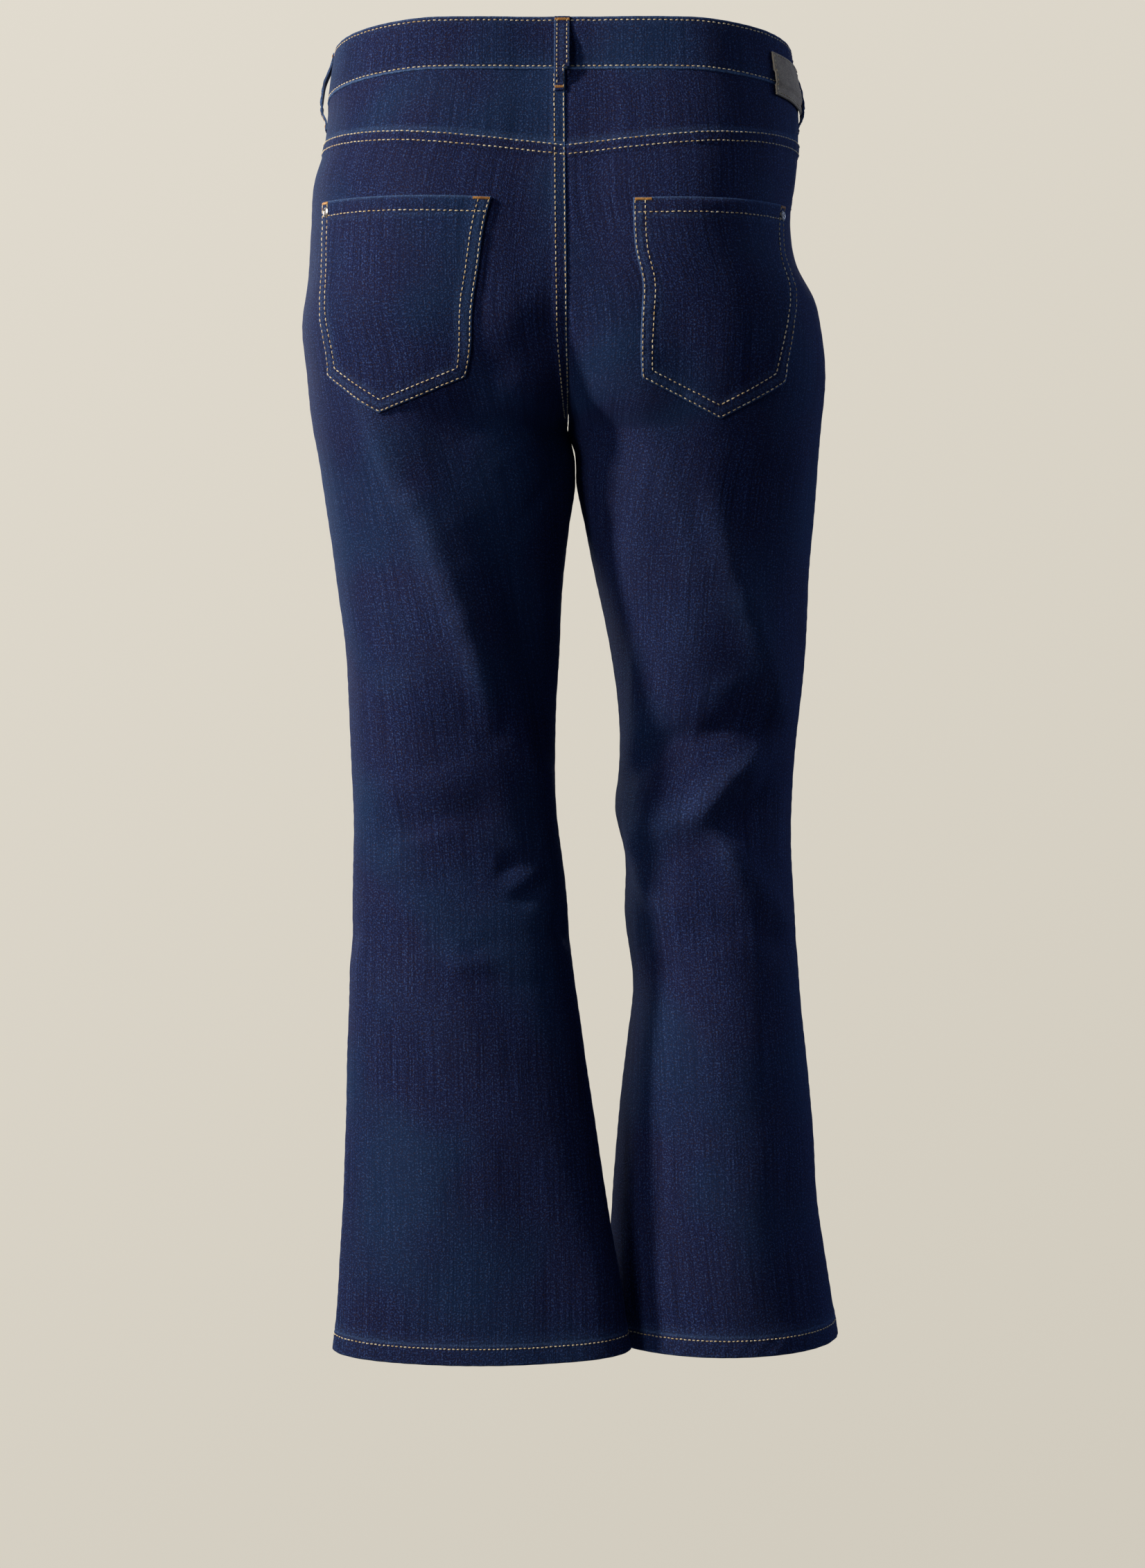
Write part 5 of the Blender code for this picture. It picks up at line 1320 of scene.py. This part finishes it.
def edgeDistances(corners, plane):
    # How far points of the pocket's plane are from its top, and from the nearest of its other four edges.
    outline = pocketOutline(corners)
    away = []
    for start, end in zip(outline, np.roll(outline, -1, axis=0)):
        way = unit(end - start)
        away.append(np.abs((plane[..., 0] - start[0]) * way[1] - (plane[..., 1] - start[1]) * way[0]))
    return away[-1], np.minimum.reduce(away[:-1])


def backPocket(side):
    # A patch pocket: turned edges held down by two rows, a hemmed mouth that gapes a little in the middle.
    corners, middle = pockets[side["name"]], tipShare(pockets[side["name"]])
    stops = (0, 0.0006, 0.0015, 0.0028, 0.0050, 0.0075, 0.0090, 0.0105)
    topStops = (0, 0.0006, 0.0015, 0.0030, 0.0060, 0.0095, 0.0112, 0.0125, 0.0145)
    before = stations(0.140 * middle, 0.0030, stops, (0,)) * middle
    after = middle + (1 - middle) * (1 - stations(0.140 * (1 - middle), 0.0030, stops, (0,)))[::-1]
    across, down = np.concatenate([before, after[1:]]), stations(0.150, 0.0030, topStops, stops)
    across, down = np.meshgrid(across, down)
    plane = np.stack(pocketPlane(corners, across, down), axis=-1)
    spot = findPlace(side, plane[..., 0] + pocketBow(corners, across, down), plane[..., 1])
    points, normals = sideAt(side, *spot)
    fromMouth, fromEdge = edgeDistances(corners, plane)
    fromEdge = np.where(down < 0.02, np.minimum(fromEdge, 0.02), fromEdge)
    gape = pocketShape["gape"] * smooth((0.030 - fromMouth) / 0.030) * smooth((fromEdge - 0.008) / 0.050)
    relief = pocketShape["thick"] + 0.0005 * (1 - smooth((fromMouth - pocketShape["mouthHem"]) / 0.0016))
    relief += 0.00045 * (1 - smooth((fromEdge - 0.0102) / 0.0016))
    relief -= 0.0016 * rounding(fromEdge, 0.0012) + 0.0007 * rounding(fromMouth, 0.0010)
    for row in pocketShape["rows"]:
        relief -= 0.00034 * bell(fromEdge - row, 0.0008)
    relief -= 0.00034 * bell(fromMouth - pocketShape["mouthRow"], 0.0008)
    relief += pucker(plane[..., 0] + plane[..., 1], fromEdge, 0.00024)
    relief += pucker(plane[..., 0], fromMouth, 0.00012)
    fade = 0.46 * bell(fromEdge - 0.0003, 0.0009) + 0.42 * bell(fromMouth - 0.0003, 0.0010)
    fade += 0.10 * bell(fromEdge - 0.0115, 0.0012) + 0.10 * bell(fromMouth - 0.0140, 0.0012)
    fade += 0.16 * bell(fromEdge - 0.0050, 0.0016)
    base = pocketShape["lift"] + gape
    outer = points + normals * (base + relief)[..., None]
    inner = points + normals * (base - 0.0007 * rounding(fromEdge, 0.0012))[..., None]
    clothPiece(f"back_pocket_{side['name']}", outer, inner, plane * [side["sign"], 1], fade)


waistbandPiece()
sidePieces = [f"{part}_{name}_cloth" for part in ("yoke", "front") for name in sides]
underLoops = fixedTree("waistband_cloth", *sidePieces)
for name, run in loops.items():
    beltLoop(name, run, underLoops)
leatherPatch()
for side in sides.values():
    backPocket(side)
print("waistband, loops, patch and pockets made")

threads = {}  # piece name: the centres, directions, normals and sizes of its stitches
stitches = {  # pitch, length and width
    "seam": (0.0041, 0.0029, 0.00098),
    "hem": (0.0034, 0.0025, 0.00098),
    "loop": (0.0036, 0.0025, 0.00098),
    "patch": (0.0037, 0.0027, 0.0008),
}
stitchLift = 0.00008


def resampled(points, normals, at):
    read = readTable(at, runAlong(points), np.concatenate([points, normals], axis=1))
    return read[:, :3], unit(read[:, 3:])


def sew(group, trees, points, normals, kind="seam"):
    # Stitches along a path: each one's ends and middle are settled on the pieces, so it follows their relief.
    pitch, length, width = stitches[kind]
    total = runAlong(points)[-1]
    count = max(2, round(total / pitch))
    middle = (np.arange(count) + 0.5) * total / count + chance.uniform(-0.05, 0.05, count) * pitch
    longs = length * chance.uniform(0.90, 1.08, count)
    at = np.stack([middle - longs / 2, middle, middle + longs / 2], axis=1).clip(0, total)
    places, ways = settled(trees, *resampled(points, normals, at.ravel()))
    places, ways = places.reshape(-1, 3, 3), ways.reshape(-1, 3, 3)
    ahead = unit(places[:, 2] - places[:, 0])
    beside = unit(np.cross(ways[:, 1], ahead))
    ahead = unit(ahead + beside * chance.normal(0, 0.035, (count, 1)))
    centre = (places.sum(1) / 3) + beside * chance.normal(0, 0.00007, (count, 1))
    sizes = np.stack([longs, width * chance.uniform(0.92, 1.10, count)], axis=1)
    threads.setdefault(group, []).append((centre, ahead, ways[:, 1], sizes))


def barTack(group, trees, points, normals, width, pitch=0.00052):
    # A dense zigzag: short threads across the path, each leaning a little.
    at = np.arange(pitch / 2, runAlong(points)[-1], pitch)
    places, ways = resampled(points, normals, at)
    ahead = unit(np.gradient(places, axis=0))
    beside = unit(np.cross(ways, ahead))
    ends = [settled(trees, places + beside * share * width, ways)[0] for share in (-0.35, 0.35)]
    across = unit(ends[1] - ends[0] + ahead * chance.normal(0, 0.00012, (len(at), 1)))
    centre = (ends[0] + ends[1]) / 2 + ways * 0.00022
    sizes = np.stack([width * chance.uniform(0.9, 1.1, len(at)), np.full(len(at), 0.00062)], axis=1)
    threads.setdefault(group, []).append((centre, across, ways, sizes))


def ringQuads(rings, segments):
    # The faces between closed rings of points that are numbered ring by ring.
    number = np.arange(rings * segments).reshape(rings, segments)
    beside = np.roll(number, -1, axis=1)
    return np.stack([number[:-1], beside[:-1], beside[1:], number[1:]], axis=-1).reshape(-1, 4)


def stitchTemplate():
    # A short thread lying along X, 1 long and 1 wide, whose ends dip into the cloth.
    along = np.array([-0.5, -0.36, 0.0, 0.36, 0.5])
    thick = np.array([0.30, 0.42, 0.5, 0.42, 0.30])
    dip = np.array([-0.55, -0.08, 0.10, -0.08, -0.55])
    turn = np.arange(6) * math.pi / 3
    beside, up = np.outer(thick, np.cos(turn)), np.outer(thick, np.sin(turn)) + dip[:, None]
    rings = np.stack([np.repeat(along, 6), beside.ravel(), up.ravel()], axis=1)
    caps = np.array([[0, 5, 4, 3], [0, 3, 2, 1], [24, 25, 26, 27], [24, 27, 28, 29]])
    return rings, np.concatenate([ringQuads(5, 6), caps])


def threadPiece(name, material):
    centre, ahead, up, sizes = (np.concatenate(parts) for parts in zip(*threads[name]))
    rings, quads = stitchTemplate()
    beside = unit(np.cross(up, ahead))
    up = np.cross(ahead, beside)
    points = (
        centre[:, None]
        + ahead[:, None] * (rings[:, 0] * sizes[:, :1])[..., None]
        + beside[:, None] * (rings[:, 1] * sizes[:, 1:])[..., None]
        + up[:, None] * (rings[:, 2] * sizes[:, 1:] + stitchLift)[..., None]
    )
    faces = quads[None] + (np.arange(len(centre)) * len(rings))[:, None, None]
    piece = meshPiece(name, points.reshape(-1, 3), [faces.reshape(-1, 4)], [material], sharp=180)
    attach(piece, "root")


def besideEdge(side, level, distance, edge):
    # The round_ that lies this distance inside the centre back (edge 1) or the centre front (edge 0).
    length = side["lengths"] if edge else side["frontLengths"]
    shift = 0.5 * distance / np.interp(level, side["levels"], length)
    return 1 - shift if edge else shift


def hemRow(side):
    name = side["name"]
    trees = fixedTree(f"back_{name}_cloth", f"front_{name}_cloth")
    rounds = np.linspace(0, 1, 400)
    high, low = sideAt(side, 1.96, rounds)[0], sideAt(side, 1.97, rounds)[0]
    level = 2 - seams["hemRow"] * 0.01 / np.linalg.norm(high - low, axis=1)
    sew(f"hem_stitches_{name}", trees, *sideAt(side, level, rounds), "hem")


def yokeRows(side):
    name = side["name"]
    trees = fixedTree(f"back_{name}_cloth")
    end = besideEdge(side, 0.25, 0.002 if name == "right" else 0.0, 1)
    rounds = np.linspace(0.503, end, 200)
    for row in seams["rows"]:
        level = downBy(side, yokeLevel(rounds), rounds, row - seams["lap"])
        sew(f"yoke_stitches_{name}", trees, *sideAt(side, level, rounds))


def centreRows(edge, fromLevel, toLevel, piece, group):
    # Two rows beside the centre back (edge 1) or the centre front (edge 0), on the left side's folded edge.
    side, trees = sides["left"], fixedTree(piece)
    levels = np.linspace(fromLevel, toLevel, 260)
    for row in seams["rows"]:
        rounds = besideEdge(side, levels, row - seams["lap"], edge)
        sew(group, trees, *sideAt(side, levels, rounds))


def mouthRows(side):
    name = side["name"]
    trees = fixedTree(f"front_{name}_cloth")
    angle = np.linspace(0.02, math.pi / 2 - 0.03, 160)
    for row in mouth["rows"]:
        sew(f"front_pocket_stitches_{name}", trees, *sideAt(side, *mouthCurve(side, angle, row)))


def insetCorners(corners, inset, topInset):
    # The pocket's outline moved inwards: from the inner top corner round the tip to the outer top corner.
    outline = pocketOutline(corners)
    middle = outline.mean(0)
    lines = []
    for start, end in zip(outline[:-1], outline[1:]):
        way = unit(end - start)
        normal = np.array([-way[1], way[0]])
        normal *= np.sign((middle - start) @ normal)
        lines.append((start + normal * inset, way))
    top = (outline[0] - [0, topInset], unit(outline[-1] - outline[0]))
    path = []
    for (a, u), (b, v) in zip([top] + lines, lines + [top]):
        share = np.linalg.solve(np.stack([u, -v], axis=1), b - a)
        path.append(a + u * share[0])
    return np.array(path)


def planePath(side, path, count=80):
    # A path in the pocket's plane, as lattice points.
    at = np.linspace(0, len(path) - 1, count * (len(path) - 1) + 1)
    distance, z = readTable(at, np.arange(len(path)), path).T
    corners = pockets[side["name"]]
    distance = distance + pocketBow(corners, *pocketShares(corners, distance, z))
    return sideAt(side, *findPlace(side, distance, z))


def pocketRows(side):
    name, corners = side["name"], pockets[side["name"]]
    trees = fixedTree(f"back_pocket_{name}_cloth", f"back_{name}_cloth")
    group, tacks = f"back_pocket_stitches_{name}", f"bartacks_{name}"
    for row in pocketShape["rows"]:
        sew(group, trees, *planePath(side, insetCorners(corners, row, 0.0015)))
    topLine = np.array(corners["top"])
    mouthLine = topLine + (topLine[::-1] - topLine) * 0.012 - [0, pocketShape["mouthRow"]]
    sew(group, trees, *planePath(side, mouthLine, 200))
    for corner, inward, length in ((0, 1, 0.0125), (1, 0, 0.0090)):
        way = topLine[inward] - topLine[corner]
        start = topLine[corner] + way * 0.008 - [0, 0.0016]
        along = np.array([start, start + unit(way) * length])
        barTack(tacks, trees, *planePath(side, along, 40), 0.0021)
    down = np.array([start, start - [0, 0.0095]])  # at the outer corner, where the loop above ends
    barTack(tacks, trees, *planePath(side, down, 40), 0.0019)


def waistbandRows():
    trees, start = fixedTree("waistband_cloth"), -waistband["flyEnd"] + 0.002
    run = np.linspace(start, girth - 0.010, 1600)
    run = np.where(run > halfWaist["left"], run - girth, run)
    for row in waistband["rows"]:
        sew("waistband_stitches", trees, *waistFace(run, row))
    sew("waistband_stitches", trees, *waistFace(np.full(60, start), np.linspace(*waistband["rows"], 60)))


def loopRows(name, run):
    trees = fixedTree(f"belt_loop_{name}_cloth")
    half, length = loopShape["width"] / 2 - loopShape["row"], loopShape["length"]
    drops = np.linspace(0.0016, length - 0.0014, 120)
    _, normals = waistFace(np.full(120, run), drops)
    for beside in (-half, half):
        points, _ = waistFace(np.full(120, run + beside), drops)
        sew("belt_loop_stitches", trees, points, normals, "loop")
    for drop in (0.0026, length - 0.0028):
        across = run + np.linspace(-0.0051, 0.0051, 30)
        barTack("bartacks_waist", trees, *waistFace(across, np.full(30, drop)), 0.0022)


def patchRow():
    (width, length), inset = patchShape["size"], patchShape["row"]
    left, right, top, bottom = inset, width - inset, inset, length - inset
    path = np.array([(left, top), (right, top), (right, bottom), (left, bottom), (left, top)])
    back, depth = readTable(np.linspace(0, 4, 401), np.arange(5), path).T
    points, normals = waistFace(patchShape["start"] - back, patchShape["drop"] + depth)
    sew("leather_patch_stitches", fixedTree("leather_patch_hide"), points, normals, "patch")


flyShape = {
    "reach": 0.037,  # of the J's outer row, from the centre front
    "straight": 0.100,  # how far it goes straight down
    "turn": 0.052,  # and how far its turn goes below that
    "between": 0.0065,  # its two rows
    "tacks": ((0.149, 0.158, 0.0040), (0.118, 0.128, 0.0300)),  # from, to, and beside the centre front
}


def flyRows():
    # Two rows down the left front and round in a J to the centre front, with a bar tack at its foot and one
    # at its turn.
    side, trees = sides["left"], fixedTree("front_left_cloth")
    turn = np.linspace(0, math.pi / 2, 60)
    for inset in (0.0, flyShape["between"]):
        reachIn = flyShape["reach"] - inset
        away = np.concatenate([np.full(60, reachIn), reachIn * np.cos(turn)])
        bend = flyShape["straight"] + (flyShape["turn"] - inset) * np.sin(turn)
        levels = np.concatenate([np.linspace(0.002, flyShape["straight"], 60), bend]) / hipHeight
        sew("fly_stitches", trees, *sideAt(side, levels, besideEdge(side, levels, away, 0)))
    for start, end, away in flyShape["tacks"]:
        levels = np.linspace(start, end, 30) / hipHeight
        barTack("bartacks_waist", trees, *sideAt(side, levels, besideEdge(side, levels, away, 0)), 0.0020)


def buttonhole():
    trees = fixedTree("waistband_cloth")
    width, tall = waistband["hole"]
    start = [waistband["holeStart"], (waistband["height"] - tall) / 2]
    corners = np.array([(0, 0), (width, 0), (width, tall), (0, tall), (0, 0)]) + start
    for (x0, y0), (x1, y1) in zip(corners[:-1], corners[1:]):
        out = unit(np.array([y1 - y0, -(x1 - x0)])) * 0.0011
        runs, drops = np.linspace(x0, x1, 30) + out[0], np.linspace(y0, y1, 30) + out[1]
        barTack("buttonhole_stitches", trees, *waistFace(runs, drops), 0.0019, pitch=0.0007)


for side in sides.values():
    hemRow(side)
    yokeRows(side)
    mouthRows(side)
    pocketRows(side)
yokeSeat = float(yokeLevel(1.0))
centreRows(1, 0.012, yokeSeat - 0.006, "yoke_left_cloth", "seat_seam_stitches")
centreRows(1, yokeSeat + 0.002, 0.955, "back_left_cloth", "seat_seam_stitches")
centreRows(0, 0.70, 0.955, "front_left_cloth", "front_seam_stitches")
waistbandRows()
for name, run in loops.items():
    loopRows(name, run)
patchRow()
flyRows()
buttonhole()
for name in threads:
    threadPiece(name, amberThread if name.startswith("bartacks") else goldThread)
print("stitches made", {name: sum(len(part[0]) for part in parts) for name, parts in threads.items()})


def turnedMesh(node, profile, base, axis, finish, segments):
    # A profile of (radius, height), from the axis at the bottom to the axis on top, turned about the axis.
    axis = unit(np.asarray(axis, float))
    across = unit(np.cross(axis, [0.0, 0.0, 1.0]))
    third = np.cross(axis, across)
    angle = np.linspace(0, 2 * math.pi, segments, endpoint=False)
    spokes = np.cos(angle)[:, None] * across + np.sin(angle)[:, None] * third
    radius, height = np.array(profile[1:-1]).T
    rings = base + axis * height[:, None, None] + spokes[None] * radius[:, None, None]
    ends = [base + axis * profile[0][1], base + axis * profile[-1][1]]
    points = np.concatenate([rings.reshape(-1, 3), ends])
    first = np.arange(segments)
    beside, toLast = np.roll(first, -1), (len(radius) - 1) * segments
    foot, top = np.full(segments, len(points) - 2), np.full(segments, len(points) - 1)
    low = np.stack([beside, first, foot], axis=1)
    high = np.stack([first + toLast, beside + toLast, top], axis=1)
    faces = [ringQuads(len(radius), segments), low, high]
    piece = meshPiece(f"{node}_cap", points, faces, [finish], sharp=38)
    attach(piece, "root")
    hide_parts(node)


def arc(radius0, height0, radius1, height1, bulge, count):
    # Points from one (radius, height) to another, bulging up by this much between them.
    share = np.linspace(0, 1, count)
    lift = bulge * np.sin(math.pi * share)
    return list(zip(radius0 + (radius1 - radius0) * share, height0 + (height1 - height0) * share + lift))


def rivetPiece(side):
    # A pressed rivet: a flat washer, a rounded shoulder, and a nub in a shallow dish.
    name = side["name"]
    innerTop, outerTop = np.array(pockets[name]["top"])
    corner = outerTop + (innerTop - outerTop) * 0.055 + np.array([0, -0.0085])
    point, normal = (part.reshape(1, 3) for part in sideAt(side, *findPlace(side, *corner)))
    point, _ = settled(fixedTree(f"back_pocket_{name}_cloth"), point, normal)
    washer = [(0.0, -0.0004), (0.0036, -0.0004), (0.0038, -0.0001), (0.0038, 0.0003), (0.0036, 0.0005)]
    shoulder = arc(0.0032, 0.0006, 0.0016, 0.0006, 0.00055, 7)
    nub = [(0.0013, 0.0005), (0.0011, 0.0007), (0.0009, 0.0012), (0.0005, 0.0015), (0.0, 0.0016)]
    profile = washer + shoulder + nub
    turnedMesh(f"pocket_rivet_{name}", profile, point[0], normal[0], rivetMetal, 32)


def flyButton():
    # A plain shank button: foot, neck, and a dished cap with a raised rim and a fine ring.
    run = waistband["holeStart"] + 0.35 * waistband["hole"][0]
    point, normal = (part[0] for part in waistFace(np.array([run]), np.array([waistband["height"] / 2])))
    foot = [(0.0, -0.0026), (0.0026, -0.0026), (0.0026, -0.0022), (0.0013, -0.0018), (0.0013, 0.0013)]
    cap = [(0.0064, 0.0013), (0.0080, 0.0017), (0.00845, 0.0021), (0.0085, 0.0025), (0.00840, 0.0031)]
    rim = arc(0.0080, 0.0034, 0.0068, 0.0032, 0.0003, 5)
    dish = [(0.0064, 0.0029), (0.0052, 0.0028), (0.0050, 0.0030), (0.0046, 0.0030), (0.0044, 0.0028)]
    profile = foot + cap + rim + dish + arc(0.0034, 0.0028, 0.0, 0.0032, 0.0001, 5)
    turnedMesh("fly_button", profile, point, normal, buttonMetal, 48)


zipShape = {
    "flat": (0.028, 0.125),  # the tape
    "area": 0.0035,
    "wall": 0.0008,
    "behind": 0.0029,  # the tape's face behind the fronts' base
    "teeth": 78,
    "teethBehind": 0.0038,
    "tooth": (0.0013, 0.00055, 0.0005),  # half its width, height and thickness
    "lean": 0.0007,  # how far every other tooth stands out to its own side
}


def flyZip():
    # The zip behind the centre front: a woven tape, with the two rows of its teeth closed along its middle.
    width, length = zipShape["flat"]
    level = 0.010 + np.linspace(0, length / hipHeight, 60)
    rows = []
    for share in np.linspace(-1, 1, 15):
        side = sides["left" if share >= 0 else "right"]
        round_ = abs(share) * width / 2 / (2 * side["lengths"][0])
        points, normals = sideAt(side, level, np.full(len(level), round_))
        if share == 0:
            points = (points + sideAt(sides["right"], level, np.zeros(len(level)))[0]) / 2
        rows.append((points, normals))
    points, (middle, out) = np.stack([p for p, _ in rows], axis=1), rows[7]
    normals = np.repeat(out[:, None], 15, axis=1)
    outer = points - normals * zipShape["behind"]
    inner = outer - normals * zipShape["wall"]
    place = np.stack([reach(points, 1), -reach(points, 0)], axis=-1)
    fade, finishes = np.zeros(place.shape[:2]), [zipCloth, zipCloth]
    clothPiece("fly_zip", outer, inner, place, fade, finishes, ending="tape")
    count = zipShape["teeth"]
    centre, out = resampled(middle - out * zipShape["teethBehind"], out, np.linspace(0.002, 0.120, count))
    ahead = unit(np.gradient(centre, axis=0))
    beside = unit(np.cross(out, ahead))
    centre += beside * np.where(np.arange(count) % 2, zipShape["lean"], -zipShape["lean"])[:, None]
    corners = np.array([(x, y, z) for x in (-1, 1) for y in (-1, 1) for z in (-1, 1)])
    x, y, z = (corners * zipShape["tooth"]).T[..., None]
    points = centre[:, None] + beside[:, None] * x + ahead[:, None] * y + out[:, None] * z
    cube = np.array([(0, 1, 3, 2), (4, 6, 7, 5), (0, 4, 5, 1), (2, 3, 7, 6), (0, 2, 6, 4), (1, 5, 7, 3)])
    faces = (cube[None] + (np.arange(count) * 8)[:, None, None]).reshape(-1, 4)
    teeth = meshPiece("fly_zip_teeth", points.reshape(-1, 3), [faces], [zipMetal], sharp=30)
    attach(teeth, "root")


for side in sides.values():
    rivetPiece(side)
flyButton()
flyZip()
print("rivets, button and zip made")

eye = {"place": (-0.0076, 2.6, -0.42), "tilt": 2.755, "lens": 4810 / 2263 * 36}
studio = {
    "floorZ": -1.10,
    "flat": 4.9,  # m from the middle to where the floor starts to curve up
    "curve": 1.6,
    "wall": 4.2,
    "segments": 96,
    # the glow's two tones: painted light, darker lower down as painted shade
    "upper": "#e1dbcf",
    "lower": "#d0cabd",
    "slope": (1.31, -0.10, 2.12),  # the way in which the painted light on the paper pales, as seen from the eye's place
    "range": (-0.725, 0.725),  # of that slope, over which it pales
}


def studioBowl():
    # A floor that curves up into a wall all round. It glows as bright as the photographed paper, and its
    # light doesn't reach the cloth, so that only the lamps and the sky shade the jeans.
    segments = studio["segments"]
    turn = np.linspace(0, 2 * math.pi, segments, endpoint=False)
    bend = np.linspace(0, math.pi / 2, 12)[1:]
    floor = np.linspace(0.02, studio["flat"], 10)
    radius = np.concatenate([floor, studio["flat"] + studio["curve"] * np.sin(bend)])
    height = np.concatenate([np.zeros(10), studio["curve"] * (1 - np.cos(bend)), [studio["wall"]]])
    radius, height = np.append(radius, radius[-1])[:, None], np.repeat(height[:, None], segments, axis=1)
    points = np.stack([radius * np.cos(turn), radius * np.sin(turn), height + studio["floorZ"]], axis=-1)
    material = bpy.data.materials.new("seamlessPaper")
    material.use_nodes = True
    tree = material.node_tree
    tree.nodes.clear()
    place = addNode(tree, "TexCoord").outputs["Object"]
    ray = addNode(tree, "VectorMath", {0: place, 1: eye["place"]}, operation="SUBTRACT").outputs[0]
    ray = addNode(tree, "VectorMath", {0: ray}, operation="NORMALIZE").outputs[0]
    slope = {0: ray, 1: studio["slope"]}
    slope = addNode(tree, "VectorMath", slope, operation="DOT_PRODUCT").outputs["Value"]
    low, high = studio["range"]
    share = addNode(tree, "MapRange", {0: slope, 1: low, 2: high}).outputs[0]
    # painted light and shade: the glow grades from the lower tone to the upper one
    tones = {0: share, 6: linear(studio["lower"]), 7: linear(studio["upper"])}
    colour = addNode(tree, "Mix", tones, data_type="RGBA").outputs[2]
    glow = addNode(tree, "Emission", {"Color": colour, "Strength": 1.0}).outputs[0]
    addNode(tree, "OutputMaterial", {"Surface": glow})
    faces = [ringQuads(len(radius), segments), np.arange(segments)[None]]
    bowl = meshPiece("studio_paper", points.reshape(-1, 3), faces, [material], sharp=180)
    bowl.visible_diffuse = False
    bowl.visible_glossy = False
    bowl.visible_shadow = False


lamps = {  # place, target, size in m, power in W, colour
    "key_light": ((2.72, 1.25, 1.25), (0.0, 0.0, -0.42), 0.42, 106, "#fffaf4"),
    "fill_light": ((1.75, 2.1, 0.0), (0.0, 0.0, -0.5), 0.7, 16, "#e6efff"),
    "side_light": ((-2.75, -1.15, 0.5), (0.0, 0.0, -0.45), 1.3, 24, "#b4cdff"),
    "rim_light": ((1.55, -2.15, 0.2), (0.0, 0.0, -0.55), 0.9, 30, "#f2f6ff"),
    "front_light": ((-0.2, -3.1, 0.9), (0.0, 0.0, -0.45), 1.8, 42, "#fbf9ff"),
}
air = {"colour": "#b9cff5", "strength": 0.085}

studioBowl()
for name, (place, target, size, power, colour) in lamps.items():
    light = bpy.data.lights.new(name, "AREA")
    light.shape = "DISK"
    light.size, light.energy = size, power
    light.color = linear(colour)[:3]
    lamp = bpy.data.objects.new(name, light)
    lamp.location = place
    lamp.rotation_euler = (Vector(target) - Vector(place)).to_track_quat("-Z", "Y").to_euler()
    bpy.context.scene.collection.objects.link(lamp)

world = bpy.data.worlds.new("studioAir")
world.use_nodes = True
sky = world.node_tree.nodes["Background"].inputs
sky["Color"].default_value = linear(air["colour"])
sky["Strength"].default_value = air["strength"]
bpy.context.scene.world = world
bpy.context.scene.view_settings.view_transform = "Standard"

lens = bpy.data.cameras.new("camera")
lens.lens, lens.sensor_width = eye["lens"], 36
camera = bpy.data.objects.new("camera", lens)
camera.location = eye["place"]
camera.rotation_euler = (math.radians(90 - eye["tilt"]), 0, math.radians(180))
bpy.context.scene.collection.objects.link(camera)
bpy.context.scene.camera = camera
print("studio, lamps and camera made")
